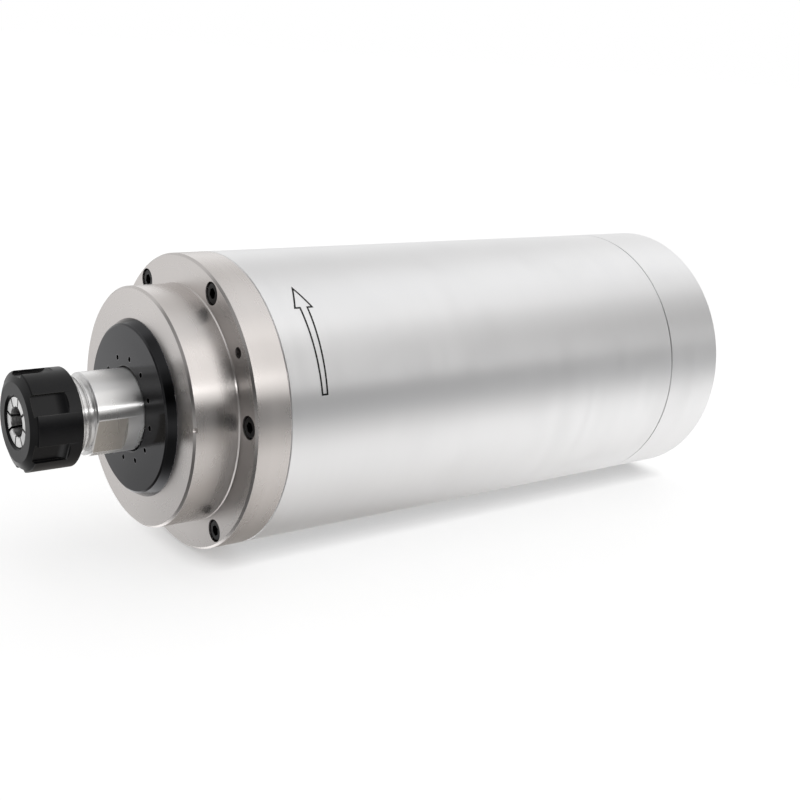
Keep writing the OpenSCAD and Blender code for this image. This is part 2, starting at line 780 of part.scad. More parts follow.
// The channels run to and fro along the axis, from the inlet's side of the whole rib round to the outlet's
module water_jacket() {
    span = channel_end_x - channel_x;
    rib_clock = (inlet_clock + outlet_clock) / 2;
    color(aluminium) difference() {
        ring(jacket_x, rear_housing_x, stator_r, spigot_r);
        difference() {
            ring(channel_x, channel_end_x, channel_floor_r, spigot_r + 1);
            for (i = [0 : channel_count - 1]) {
                start = i % 2 == 1 ? channel_turn : -1;
                run = (i == 0 ? span + 1 : i % 2 == 1 ? span + 1 : span - channel_turn) - start;
                along(channel_x + start) at_clock(rib_clock + i * 360 / channel_count, channel_floor_r - 1)
                    translate([0, -channel_rib_w / 2, 0]) cube([channel_depth + 3, channel_rib_w, run]);
            }
        }
        o_ring_groove(jacket_ring_x);
        for (clock = water_clocks)
            hole(channel_end_x - 1, rear_housing_x + 1, clock, water_circle, water_hole_r);
    }
}

module o_rings() {
    ring_r = spigot_r - groove_depth + ring_section_r + 0.02;
    color(rubber) for (x = [front_ring_x, jacket_ring_x, rear_ring_x, cap_ring_x])
        torus(x + groove_w / 2, ring_r, ring_section_r);
}

// Rear bearing housing

module rear_bearing_housing() {
    lip_x = rear_a_x - rear_lip_t;
    color(aluminium) difference() {
        revolve([[rear_housing_x, recess_r], [rear_housing_x, spigot_r], [rear_housing_end_x, spigot_r],
            [rear_housing_end_x, bearing_cover_r + seat_gap], [bearing_cover_x, bearing_cover_r + seat_gap],
            [bearing_cover_x, rear_outer_r + seat_gap], [rear_a_x, rear_outer_r + seat_gap],
            [rear_a_x, rear_lip_r], [lip_x, rear_lip_r],
            [rear_housing_x + rear_recess_depth, rear_lip_r + 6],
            [rear_housing_x + rear_recess_depth, recess_r]]);
        o_ring_groove(rear_ring_x);
        for (clock = water_clocks)
            hole(rear_housing_x - 1, rear_housing_end_x + 1, clock, water_circle, water_hole_r);
        for (clock = lead_clocks)
            hole(rear_housing_x - 1, rear_housing_end_x + 1, clock, lead_circle, lead_r + 1);
        for (i = [0 : cover_screw_count - 1])
            hole(bearing_cover_x - cover_screw_grip - 1, bearing_cover_x + 1, i * 360 / cover_screw_count,
                cover_screw_circle, cover_screw_r + seat_gap);
    }
}

module rear_bearing_cover() {
    back_x = bearing_cover_x + bearing_cover_t;
    color(aluminium) difference() {
        ring(bearing_cover_x, back_x, rear_nut_r + 1, bearing_cover_r);
        for (i = [0 : cover_screw_count - 1]) {
            clock = i * 360 / cover_screw_count;
            hole(bearing_cover_x - 1, back_x + 1, clock, cover_screw_circle, cover_screw_r + seat_gap);
            hole(back_x - cover_head_h, back_x + 1, clock, cover_screw_circle, cover_head_r + 0.2);
        }
    }
}

module bearing_cover_screws() {
    shank = bearing_cover_t - cover_head_h + cover_screw_grip;
    color(steel) for (i = [0 : cover_screw_count - 1])
        along(bearing_cover_x - cover_screw_grip) at_clock(i * 360 / cover_screw_count, cover_screw_circle)
            difference() {
                union() {
                    translate([0, 0, shank]) cylinder(h = cover_head_h, r = cover_head_r, $fn = 32);
                    cylinder(h = shank + eps, r = cover_screw_r, $fn = 32);
                }
                translate([0, 0, shank + cover_head_h / 2])
                    cylinder(h = cover_head_h, r = cover_head_r / 2, $fn = 6);
            }
}

// Rear cap and its fittings

module rear_cap() {
    color(aluminium) difference() {
        revolve([[rear_housing_end_x, cap_recess_r], [rear_housing_end_x, spigot_r - 0.5],
            [rear_housing_end_x + 0.5, spigot_r], [cap_x, spigot_r], [cap_x, body_r - 0.3],
            [cap_x + 0.3, body_r], [cap_back_x - cap_chamfer, body_r], [cap_back_x, body_r - cap_chamfer],
            [cap_back_x, connector_r + seat_gap], [cap_recess_x, connector_r + seat_gap],
            [cap_recess_x, cap_recess_r]]);
        for (clock = screw_clocks(flange_screw_count)) {
            hole(cap_x - 1, cap_back_x, clock, screw_circle, screw_r + seat_gap);
            hole(cap_back_x - counterbore_depth, cap_back_x + 1, clock, screw_circle, counterbore_d / 2);
        }
        for (clock = water_clocks) {
            hole(rear_housing_end_x - 1, cap_back_x, clock, water_circle, water_hole_r);
            hole(cap_back_x - nipple_seat_depth - 1, cap_back_x + 1, clock, water_circle,
                nipple_thread_r + seat_gap);
        }
        o_ring_groove(cap_ring_x);
    }
}

module rear_cap_screws() {
    shank = rear_cap_length - counterbore_depth + screw_grip;
    color(black) for (clock = screw_clocks(flange_screw_count))
        cap_screw(cap_back_x - head_sink, clock, screw_circle, shank, -1);
}

module water_nipple(clock) {
    hex_h = 5;
    hex_r = 7.2;
    barb_h = 3;
    neck_h = 1;
    neck_r = spigot_hose_r - 0.5;
    color("gainsboro") along(cap_back_x) at_clock(clock, water_circle) difference() {
        union() {
            translate([0, 0, -nipple_seat_depth])
                cylinder(h = nipple_seat_depth + eps, r = nipple_thread_r, $fn = 48);
            cylinder(h = hex_h, r = hex_r, $fn = 6);
            cylinder(h = nipple_length - barb_h - neck_h, r = spigot_hose_r, $fn = 48);
            cylinder(h = nipple_length - barb_h + eps, r = neck_r, $fn = 48);
            translate([0, 0, nipple_length - barb_h])
                cylinder(h = barb_h, r1 = spigot_hose_r - seat_gap, r2 = spigot_hose_r - 0.9, $fn = 48);
        }
        translate([0, 0, -nipple_seat_depth - 1])
            cylinder(h = nipple_seat_depth + nipple_length + 2, r = nipple_bore_r, $fn = 48);
    }
}

module water_inlet() {
    water_nipple(inlet_clock);
}

module water_outlet() {
    water_nipple(outlet_clock);
}

connector_end_x = cap_back_x + connector_length;
insert_x = cap_recess_x + 2;
insert_end_x = cap_back_x + insert_back;

module connector_shell() {
    flange_r = connector_r + 3;
    flange_h = 2.5;
    key_w = 2;
    key_h = 1.5;
    color(bright) {
        revolve([[shell_x, insert_r], [shell_x, connector_r], [cap_back_x, connector_r],
            [cap_back_x, flange_r], [cap_back_x + flange_h - 0.4, flange_r],
            [cap_back_x + flange_h, flange_r - 0.4], [cap_back_x + flange_h, connector_r],
            [connector_end_x - 0.6, connector_r], [connector_end_x, connector_r - 0.6],
            [connector_end_x, insert_r]]);
        along(insert_end_x + 0.5) at_clock(0, insert_r - key_h / 2)
            translate([0, -key_w / 2, 0]) cube([key_h, key_w, connector_end_x - insert_end_x - key_h]);
    }
}

module connector_nut() {
    color(bright) difference() {
        along(cap_recess_x - connector_nut_t) cylinder(h = connector_nut_t, r = connector_r + 5, $fn = 6);
        ring(cap_recess_x - connector_nut_t - 1, cap_recess_x + 1, 0, connector_r + seat_gap);
    }
}

module connector_insert() {
    color(black) difference() {
        along(insert_x) cylinder(h = insert_end_x - insert_x, r = insert_r - seat_gap);
        for (clock = pin_clocks)
            hole(insert_x - 1, insert_end_x + 1, clock, pin_pcd / 2, pin_d / 2 + seat_gap);
    }
}

module connector_pins() {
    length = insert_end_x + pin_reach - pin_d / 2 - lead_turn_x;
    color("gold") for (clock = pin_clocks)
        along(lead_turn_x) at_clock(clock, pin_pcd / 2) {
            cylinder(h = length, r = pin_d / 2, $fn = 32);
            translate([0, 0, length]) sphere(r = pin_d / 2, $fn = 32);
        }
}

module stator_leads() {
    lead_end_r = pin_pcd / 2 + pin_d / 2 + 0.2;
    color("firebrick") for (clock = lead_clocks) {
        along(lead_x) at_clock(clock, lead_circle) cylinder(h = lead_turn_x - lead_x, r = lead_r, $fn = 24);
        along(lead_turn_x) at_clock(clock, lead_circle) sphere(r = lead_r, $fn = 24);
        along(lead_turn_x) at_clock(clock, lead_end_r)
            rotate([0, 90, 0]) cylinder(h = lead_circle - lead_end_r, r = lead_r, $fn = 24);
    }
}

collet_nut();
eccentric_ring();
collet();
spindle_shaft();
front_cover();
front_housing();
front_screws();
body_tube();
rear_cap();
rear_cap_screws();
front_outer_ring_a();
front_outer_ring_b();
front_inner_ring_a();
front_inner_ring_b();
front_balls_a();
front_balls_b();
front_cage_a();
front_cage_b();
front_outer_spacer();
front_inner_spacer();
front_locknut();
rotor_core();
squirrel_cage();
balance_rings();
stator_core();
stator_windings();
water_jacket();
o_rings();
rear_bearing_housing();
rear_outer_ring_a();
rear_outer_ring_b();
rear_inner_ring_a();
rear_inner_ring_b();
rear_balls_a();
rear_balls_b();
rear_cage_a();
rear_cage_b();
rear_locknut();
preload_spring();
rear_bearing_cover();
bearing_cover_screws();
stator_leads();
water_inlet();
water_outlet();
connector_shell();
connector_nut();
connector_insert();
connector_pins();
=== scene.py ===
# %% [markdown]
# # A motor spindle, from turned metal to a studio picture
#
# A motor spindle is a long round motor with a collet on its nose that holds a cutter. Nearly all
# of it comes off a lathe, so nearly all of it can be modelled the same way: draw half a section,
# then spin it about the axis. The CAD model gives every size. This lesson adds what the CAD
# solids lack: rounded edges, threads, knurls and finishes.

# %% Load the frame
import json
import math
from contextlib import contextmanager

import bpy
from mathutils import Matrix, Vector


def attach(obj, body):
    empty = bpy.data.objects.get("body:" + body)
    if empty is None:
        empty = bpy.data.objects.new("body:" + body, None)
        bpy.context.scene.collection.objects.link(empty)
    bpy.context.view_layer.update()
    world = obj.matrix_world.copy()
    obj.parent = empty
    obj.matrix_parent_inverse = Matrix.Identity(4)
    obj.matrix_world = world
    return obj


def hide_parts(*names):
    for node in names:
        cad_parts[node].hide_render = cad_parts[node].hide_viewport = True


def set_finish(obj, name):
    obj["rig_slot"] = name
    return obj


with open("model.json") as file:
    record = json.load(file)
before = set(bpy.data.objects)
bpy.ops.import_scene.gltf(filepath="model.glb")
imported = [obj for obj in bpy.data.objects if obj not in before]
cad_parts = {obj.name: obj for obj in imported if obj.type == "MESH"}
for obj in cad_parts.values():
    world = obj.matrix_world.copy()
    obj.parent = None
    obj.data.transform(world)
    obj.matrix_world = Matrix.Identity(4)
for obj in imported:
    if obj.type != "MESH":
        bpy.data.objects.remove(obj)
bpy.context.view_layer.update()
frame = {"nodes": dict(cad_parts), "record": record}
MM = 0.001

# %% [markdown]
# ## The camera
#
# The camera comes first, because every later choice of detail depends on what it sees. Its place
# and lens were worked out from the circles of the turned edges: a circle seen at an angle is an
# ellipse, and a set of them on one axis fixes the camera. It stands in front of the nose, a
# little above the axis, and leans by four degrees.

# %% Camera
FOCAL_PIXELS = 1243.56
PICTURE_PIXELS = 800
camera_data = bpy.data.cameras.new("camera")
camera_data.sensor_width = 36
camera_data.lens = camera_data.sensor_width * FOCAL_PIXELS / PICTURE_PIXELS
camera = bpy.data.objects.new("camera", camera_data)
bpy.context.scene.collection.objects.link(camera)
eye = Vector((-167.69, -450.61, 150.10)) * MM
right = Vector((0.7956185, -0.6015416, 0.0716858))
up = Vector((0.1098240, 0.2595950, 0.9594525))
back = right.cross(up)
turn = Matrix((right, up, back)).transposed().to_4x4()
camera.matrix_world = Matrix.Translation(eye) @ turn
camera_data.clip_start = 0.01
bpy.context.scene.camera = camera
bpy.context.scene.view_settings.view_transform = "Standard"
print("lens:", round(camera_data.lens, 2), "mm")

# %% [markdown]
# ## Helpers for selecting and finishing
#
# An operator works on whatever is selected, and the loaded nodes arrive selected. So each step
# starts by clearing the selection. A finished piece is first cleaned, because a Boolean leaves
# slivers, and a shell whose signed volume is negative is inside out. Flat faces beside small
# rounded edges look swollen unless their normals are weighted by area, so it then gets a Weighted
# Normal modifier, which is applied.

# %% Selecting and finishing
SAME_PLACE = 1e-6
SMOOTH_BELOW = 35
pieces = {}


def clear_selection():
    if bpy.context.mode != "OBJECT":
        bpy.ops.object.mode_set(mode="OBJECT")
    bpy.ops.object.select_all(action="DESELECT")


def pick(*things):
    clear_selection()
    for thing in things:
        thing.select_set(True)
    bpy.context.view_layer.objects.active = things[0]


def apply_modifier(piece, kind, **settings):
    pick(piece)
    bpy.ops.object.modifier_add(type=kind)
    modifier = piece.modifiers[-1]
    for key, value in settings.items():
        setattr(modifier, key, value)
    bpy.ops.object.modifier_apply(modifier=modifier.name)


def place_in_mesh(piece):
    pick(piece)
    bpy.ops.object.transform_apply(location=True, rotation=True, scale=True)


@contextmanager
def editing(piece):
    """Opens a piece in Edit Mode with all of it selected, and closes it after the steps inside."""
    pick(piece)
    bpy.ops.object.mode_set(mode="EDIT")
    bpy.ops.mesh.select_all(action="SELECT")
    yield
    bpy.ops.object.mode_set(mode="OBJECT")


def signed_volume(piece):
    piece.data.calc_loop_triangles()
    corners = [vertex.co for vertex in piece.data.vertices]
    sides = [[corners[i] for i in triangle.vertices] for triangle in piece.data.loop_triangles]
    return sum(a.dot(b.cross(c)) for a, b, c in sides) / 6


def clean(piece):
    """Joins corners that coincide, removes slivers, and turns a shell that is inside out."""
    with editing(piece):
        bpy.ops.mesh.remove_doubles(threshold=SAME_PLACE)
        bpy.ops.mesh.dissolve_degenerate(threshold=SAME_PLACE)
    if signed_volume(piece) < 0:
        with editing(piece):
            bpy.ops.mesh.flip_normals()


def smooth(piece):
    pick(piece)
    bpy.ops.object.shade_smooth_by_angle(angle=math.radians(SMOOTH_BELOW))
    apply_modifier(piece, "WEIGHTED_NORMAL", keep_sharp=True, mode="FACE_AREA")


def finished(piece, name, body, slot, replaced=()):
    """Cleans and smooths a piece, names it, and tells the frame what it rides on and replaces."""
    clean(piece)
    smooth(piece)
    piece.name = name
    piece.data.name = name
    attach(piece, body)
    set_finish(piece, slot)
    if replaced:
        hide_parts(*replaced)
    pieces[name] = piece
    print(name, len(piece.data.polygons), "faces")


# %% [markdown]
# ## Turning
#
# A section is a closed loop of corners, each an (x, radius) pair in millimetres with a third
# number for the rounding of that corner. No real edge is perfectly sharp, and the thin line of
# light along a broken edge is most of what makes metal look machined. The loop starts as a circle
# primitive with one vertex for each corner.


# %% Turning on the lathe
def loop_of(points):
    """A closed loop of edges through the given points, in millimetres."""
    clear_selection()
    bpy.ops.mesh.primitive_circle_add(vertices=len(points), radius=0.01)
    loop = bpy.context.object
    for vertex, point in zip(loop.data.vertices, points):
        vertex.co = [value * MM for value in point]
    return loop


def rounded(section, steps=3):
    """Replaces each corner that has a rounding by a short arc."""
    corners = []
    for i, corner in enumerate(section):
        here = Vector(corner[:2])
        size = corner[2] if len(corner) > 2 else 0
        if not size:
            corners.append(here)
            continue
        before = (Vector(section[i - 1][:2]) - here).normalized()
        after = (Vector(section[(i + 1) % len(section)][:2]) - here).normalized()
        half = before.angle(after) / 2
        centre = here + (before + after).normalized() * size / math.sin(half)
        start = (here + before * size / math.tan(half) - centre).normalized()
        end = (here + after * size / math.tan(half) - centre).normalized()
        for step in range(steps + 1):
            corners.append(centre + start.slerp(end, step / steps) * size)
    return corners


def turned(section, steps=192):
    """Spins a closed section about the axis."""
    piece = loop_of([(x, 0, r) for x, r in rounded(section)])
    with editing(piece):
        bpy.ops.mesh.spin(steps=steps, angle=2 * math.pi, center=(0, 0, 0), axis=(1, 0, 0))
        bpy.ops.mesh.select_all(action="SELECT")
        bpy.ops.mesh.remove_doubles(threshold=2 * SAME_PLACE)
        bpy.ops.mesh.dissolve_degenerate(threshold=0.1 * SAME_PLACE)
        bpy.ops.mesh.select_all(action="SELECT")
        bpy.ops.mesh.normals_make_consistent(inside=False)
    return piece


# %% [markdown]
# ## Drilling, milling and sawing
#
# Holes, flats and slots are cut with solid tools and a Boolean modifier, as on the real part. A
# place round the axis is given as a clock angle, from straight up towards the camera's side. All
# tools for one cut are joined first, so that one Boolean does the whole ring of holes.


# %% Cutting tools
def turn_to(clock):
    return Matrix.Rotation(math.radians(clock), 4, "X")


def round_tool(x0, x1, radius, circle, sides=48):
    clear_selection()
    bpy.ops.mesh.primitive_cylinder_add(
        vertices=sides,
        radius=radius * MM,
        depth=(x1 - x0) * MM,
        location=((x0 + x1) / 2 * MM, 0, circle * MM),
        rotation=(0, math.pi / 2, 0),
    )
    tool = bpy.context.object
    place_in_mesh(tool)
    return tool


def box_tool(x0, x1, width, low, high):
    clear_selection()
    bpy.ops.mesh.primitive_cube_add(size=1, location=((x0 + x1) / 2 * MM, 0, (low + high) / 2 * MM))
    tool = bpy.context.object
    tool.scale = ((x1 - x0) * MM, width * MM, (high - low) * MM)
    place_in_mesh(tool)
    return tool


def joined(*things):
    pick(*things)
    if len(things) > 1:
        bpy.ops.object.join()
    return bpy.context.object


def copied(piece, matrix):
    """A copy of a piece with its own mesh, moved by a matrix."""
    copy = piece.copy()
    copy.data = piece.data.copy()
    copy.data.transform(matrix)
    bpy.context.scene.collection.objects.link(copy)
    return copy


def around(tool, angles):
    """Copies a tool that points straight up to each clock angle, as one object."""
    copies = [copied(tool, turn_to(clock)) for clock in angles]
    bpy.data.objects.remove(tool)
    return joined(*copies)


def boolean(piece, tool, operation="DIFFERENCE"):
    apply_modifier(piece, "BOOLEAN", object=tool, operation=operation, solver="EXACT")
    bpy.data.objects.remove(tool)
    return piece


def clocks(count, first=0.0):
    return [first + i * 360 / count for i in range(count)]


# %% [markdown]
# ## Sizes that several pieces share
#
# These repeat the CAD source's values in millimetres, because the part's source isn't there when
# this script runs.

# %% Shared sizes
NOSE_PITCH = 1.5
NOSE_R = 17.0
SHOULDER_X = 25.9
COVER_X = 46.2
BOSS_X = 50.2
FLANGE_X = 70.2
TUBE_X = 86.2
CAP_X = 308.2
CAP_BACK_X = 344.2
BODY_R = 62.5
BOSS_R = 50.0
BORE_R = 52.0
SPIGOT_R = 51.95
SCREW_CIRCLE = 56.5
SCREW_CLOCKS = clocks(6, 25)
SCREW_HOLE_R = 2.55
SEAT_R = 4.75
SEAT_DEPTH = 5.5
GLAND_R = 33.0
FRONT_A_X = 58.7
FRONT_NUT_X = 96.7
REAR_HOUSING_END_X = 303.7

# %% [markdown]
# ## The collet nut
#
# The nut is a blackened steel ring with a coned front, a flat ring round its mouth and six
# spanner slots. Each slot is milled from the front with a round cutter, so it ends in a curved
# ramp. The tool's outline is drawn from the side, a straight run and an arc, and pulled out to
# the slot's width. Inside are the cone that closes the collet, the groove for the eccentric ring
# and the thread.

# %% Collet nut
nut = turned(
    [
        (0.0, 10.3),
        (-0.8, 11.1, 0.25),
        (-0.8, 15.8, 0.35),
        (1.0, 20.0, 0.7),
        (18.8, 20.0, 0.15),
        (19.2, 19.6, 0.15),
        (19.2, 16.9),
        (18.3, 16.4),
        (9.2, 16.45),
        (7.7, 16.45),
        (7.7, 13.5),
        (5.9, 13.5),
        (5.9, 14.2),
        (3.7, 14.2),
        (3.7, 12.35),
        (0.4, 10.42),
        (0.4, 10.3),
    ]
)
SLOT_FLOOR, SLOT_RUN, SLOT_WIDTH, RAMP_R = 18.2, 9.2, 8.5, 8.0
arc = [math.radians(3.75 * step) for step in range(25)]
ramp = [(SLOT_RUN + RAMP_R * math.sin(a), SLOT_FLOOR + RAMP_R * (1 - math.cos(a))) for a in arc]
outline = [(-2.0, 30.0), (-2.0, SLOT_FLOOR)] + ramp + [(SLOT_RUN + RAMP_R, 30.0)]
slot_tool = loop_of([(x, -SLOT_WIDTH / 2, z) for x, z in outline])
with editing(slot_tool):
    bpy.ops.mesh.edge_face_add()
    bpy.ops.mesh.extrude_region_move(TRANSFORM_OT_translate={"value": (0, SLOT_WIDTH * MM, 0)})
    bpy.ops.mesh.select_all(action="SELECT")
    bpy.ops.mesh.normals_make_consistent(inside=False)
boolean(nut, around(slot_tool, clocks(6, 56)))

# %% [markdown]
# ## Threads
#
# A thread is one tooth wound into a helix. The tooth is a small trapezoid beside the axis, and a
# Screw modifier winds it. Its two ends are closed, and over the first and the last third of a
# turn it sinks into the core, as a real thread runs out.


# %% Winding a thread
def thread(x0, length, root, crest, pitch, steps=96):
    """A right-hand ridge from x0 along +X. It points inwards if its crest is below its root."""
    sink = 0.12
    foot = root - sink if crest > root else root + sink
    tooth = [(-0.46, foot), (-0.08, crest), (0.08, crest), (0.46, foot)]
    ridge = loop_of([(x0 + share * pitch, 0, r) for share, r in tooth])
    with editing(ridge):
        bpy.ops.mesh.edge_face_add()
    turns = length / pitch
    apply_modifier(
        ridge,
        "SCREW",
        axis="X",
        angle=2 * math.pi * turns,
        screw_offset=length * MM,
        steps=round(steps * turns),
        render_steps=round(steps * turns),
        iterations=1,
        use_smooth_shade=False,
    )
    run_out = pitch / 3
    for vertex in ridge.data.vertices:
        along = vertex.co.x / MM - x0
        r = math.hypot(vertex.co.y, vertex.co.z) / MM
        fade = min(1.0, max(0.0, along) / run_out, max(0.0, length - along) / run_out)
        sunk = (foot + (r - foot) * fade) / r
        vertex.co.y *= sunk
        vertex.co.z *= sunk
    with editing(ridge):
        bpy.ops.mesh.select_all(action="DESELECT")
        bpy.ops.mesh.select_mode(type="EDGE")
        bpy.ops.mesh.select_non_manifold(extend=False)
        bpy.ops.mesh.edge_face_add()
        bpy.ops.mesh.select_mode(type="VERT")
        bpy.ops.mesh.select_all(action="SELECT")
        bpy.ops.mesh.normals_make_consistent(inside=False)
    return ridge


nut_thread = thread(9.9, 7.4, 16.55, 16.1, NOSE_PITCH)
finished(nut, "collet_nut_body", "nut", "black_oxide", ["collet_nut"])
finished(nut_thread, "collet_nut_thread", "nut", "black_oxide")

# %% [markdown]
# ## The collet
#
# The collet is a spring steel sleeve, sawn from each end in turn so that it closes evenly. The
# front slots stop before the back and the rear slots stop before the front, which leaves one
# continuous zigzag of metal.

# %% Collet
COLLET_SLOPE = math.tan(math.radians(8))
COLLET_LENGTH = 34.0
collet = turned(
    [
        (0, 6.35, 0.0),
        (0, 9.9, 0.2),
        (3.6, 11.978, 0.1),
        (3.6, 10.8),
        (6.0, 10.8),
        (6.0, 12.6),
        (6.5, 13.0),
        (8.0, 13.0),
        (33.4, 13 - COLLET_SLOPE * 25.4, 0.2),
        (COLLET_LENGTH, 13 - COLLET_SLOPE * 26 - 0.6),
        (COLLET_LENGTH, 6.3),
        (33.7, 6.0),
        (0.35, 6.0),
    ],
    steps=144,
)
SAW_WIDTH, SAW_REACH = 1.0, 27.88
front_saws = around(box_tool(-1, SAW_REACH, SAW_WIDTH, 4, 16), clocks(8, 10))
rear_saw = box_tool(COLLET_LENGTH - SAW_REACH, COLLET_LENGTH + 1, SAW_WIDTH, 4, 16)
rear_saws = around(rear_saw, clocks(8, 32.5))
boolean(collet, front_saws)
boolean(collet, rear_saws)
finished(collet, "collet_sleeve", "collet_set", "ground_steel", ["collet"])

# %% [markdown]
# ## The shaft
#
# Only the nose of the shaft shows: a ground cylinder with two spanner flats, an undercut and the
# thread for the nut. The rest runs through the bearings and the rotor, and is modelled too,
# because a part that is cut open or printed should be whole.

# %% Shaft
FLINGER_X, REAR_A_X, SHAFT_BACK_X = BOSS_X + 1, 266.8, 303.8
FIN = (FRONT_A_X - FLINGER_X) / 5
shaft = turned(
    [
        (8.4, 13.15),
        (8.0, 13.65),
        (8.0, 14.6, 0.2),
        (9.0, 15.2),
        (23.9, 15.2),
        (24.4, 14.8, 0.2),
        (SHOULDER_X, 14.8),
        (SHOULDER_X, NOSE_R - 0.6, 0.15),
        (SHOULDER_X + 0.6, NOSE_R, 0.15),
        (FLINGER_X, NOSE_R),
        (FLINGER_X, 24.6),
        (FLINGER_X + FIN, 24.6),
        (FLINGER_X + FIN, 22.6),
        (FLINGER_X + 2 * FIN, 22.6),
        (FLINGER_X + 2 * FIN, 24.6),
        (FLINGER_X + 3 * FIN, 24.6),
        (FLINGER_X + 3 * FIN, 22.6),
        (FLINGER_X + 4 * FIN, 22.6),
        (FRONT_A_X, 20.6),
        (FRONT_A_X, 17.5),
        (FRONT_NUT_X + 10, 17.5),
        (FRONT_NUT_X + 10, 17.0),
        (REAR_A_X, 17.0),
        (REAR_A_X, 15.0),
        (SHAFT_BACK_X - 1, 15.0),
        (SHAFT_BACK_X, 14.0, 0.2),
        (SHAFT_BACK_X, 0.0),
        (FRONT_A_X + 18.1, 0.0),
        (FRONT_A_X + 14, 8.25),
        (37.0, 8.25),
        (37.0, 9.66),
        (35.0, 9.66),
        (35.0, 13.15 - COLLET_SLOPE * 27),
    ]
)
FLAT_ACROSS, FLAT_LENGTH, FLAT_CLOCK = 30.0, 13.0, 112.0
flat_tool = box_tool(SHOULDER_X - 1, SHOULDER_X + FLAT_LENGTH, 40, FLAT_ACROSS / 2, 25)
boolean(shaft, around(flat_tool, [FLAT_CLOCK, FLAT_CLOCK + 180]))
finished(shaft, "shaft_body", "rotor", "ground_steel", ["spindle_shaft"])
nose_thread = thread(9.4, 14.2, 15.2, 16.0, NOSE_PITCH)
finished(nose_thread, "nose_thread", "rotor", "ground_steel")

# %% [markdown]
# ## The front cover
#
# A black anodised disc closes the front bearings. Its face is slightly coned, its rim has a
# polished bevel, and twelve small holes blow purge air round the shaft to keep dust out of the
# bearings.

# %% Front cover
cover = turned(
    [
        (COVER_X - 0.5, 17.9, 0.1),
        (COVER_X, 34.2, 0.25),
        (COVER_X + 0.5, 35.0, 0.25),
        (BOSS_X, 37.0, 0.12),
        (BOSS_X, GLAND_R - 0.05),
        (FRONT_A_X, GLAND_R - 0.05),
        (FRONT_A_X, 25.0),
        (BOSS_X, 25.0),
        (BOSS_X, 17.4),
        (COVER_X, 17.4, 0.1),
    ]
)
PURGE_R, PURGE_CIRCLE, PURGE_CLOCKS = 1.1, 21.5, clocks(12, 6)
purge_tool = round_tool(COVER_X - 2, BOSS_X + 1, PURGE_R, PURGE_CIRCLE, 24)
boolean(cover, around(purge_tool, PURGE_CLOCKS))
finished(cover, "front_cover_disc", "housing", "black_anodised", ["front_cover"])

# %% [markdown]
# ## The flange and its boss
#
# One turned piece carries the front bearings. Its flange has six counterbored holes for cap
# screws and two tapped jack holes, which push it off the tube. A small notch on the boss marks
# its top for the fitter.

# %% Flange
flange = turned(
    [
        (BOSS_X, GLAND_R),
        (BOSS_X, BOSS_R - 0.9, 0.12),
        (BOSS_X + 0.9, BOSS_R, 0.12),
        (FLANGE_X - 0.6, BOSS_R, 0.2),
        (FLANGE_X, BOSS_R + 0.25, 0.0),
        (FLANGE_X, BODY_R - 0.9, 0.12),
        (FLANGE_X + 0.9, BODY_R, 0.12),
        (TUBE_X - 0.35, BODY_R, 0.1),
        (TUBE_X, BODY_R - 0.35),
        (TUBE_X, SPIGOT_R),
        (TUBE_X + 5, SPIGOT_R),
        (TUBE_X + 5, SPIGOT_R - 1.6),
        (TUBE_X + 7.4, SPIGOT_R - 1.6),
        (TUBE_X + 7.4, SPIGOT_R),
        (FRONT_NUT_X + 13, SPIGOT_R),
        (FRONT_NUT_X + 14, SPIGOT_R - 1),
        (FRONT_NUT_X + 14, 42.0),
        (FRONT_NUT_X + 3, 42.0),
        (FRONT_NUT_X + 3, 28.0),
        (FRONT_NUT_X, 28.0),
        (FRONT_NUT_X, 31.05),
        (FRONT_A_X, 31.05),
        (FRONT_A_X, GLAND_R),
    ]
)
JACK_HOLE_R, JACK_CLOCKS, NOTCH_R, NOTCH_CLOCKS = 2.25, [55, 235], 1.0, [85]
for tool, places in (
    (round_tool(FLANGE_X - 1, FLANGE_X + SEAT_DEPTH, SEAT_R, SCREW_CIRCLE), SCREW_CLOCKS),
    (round_tool(FLANGE_X + 4, TUBE_X + 2, SCREW_HOLE_R, SCREW_CIRCLE, 32), SCREW_CLOCKS),
    (round_tool(FLANGE_X - 1, TUBE_X + 2, JACK_HOLE_R, SCREW_CIRCLE, 32), JACK_CLOCKS),
    (round_tool(BOSS_X - 1, BOSS_X + 1.5, NOTCH_R, BOSS_R, 24), NOTCH_CLOCKS),
):
    boolean(flange, around(tool, places))
finished(flange, "front_flange", "housing", "nickel_steel", ["front_housing"])

# %% [markdown]
# ## The body tube and the rear cap
#
# The tube is a plain cylinder whose only outer detail is the broken edge at each end. Where two
# such edges meet they make the fine dark seam that tells the eye there are two parts. The rear
# cap closes the tube with a larger bevel, and carries the connector and the hose spigots.

# %% Body tube
tube = turned(
    [
        (TUBE_X, 52.5),
        (TUBE_X, BODY_R - 0.35, 0.0),
        (TUBE_X + 0.35, BODY_R, 0.1),
        (CAP_X - 0.45, BODY_R, 0.1),
        (CAP_X, BODY_R - 0.45, 0.0),
        (CAP_X, 52.5),
        (CAP_X - 0.5, BORE_R),
        (TUBE_X + 0.5, BORE_R),
    ],
    steps=256,
)
for start, stop in ((TUBE_X - 1, TUBE_X + 16), (CAP_X - 16, CAP_X + 1)):
    boolean(tube, around(round_tool(start, stop, SCREW_HOLE_R, SCREW_CIRCLE, 32), SCREW_CLOCKS))
finished(tube, "body_tube_sleeve", "housing", "body_metal", ["body_tube"])

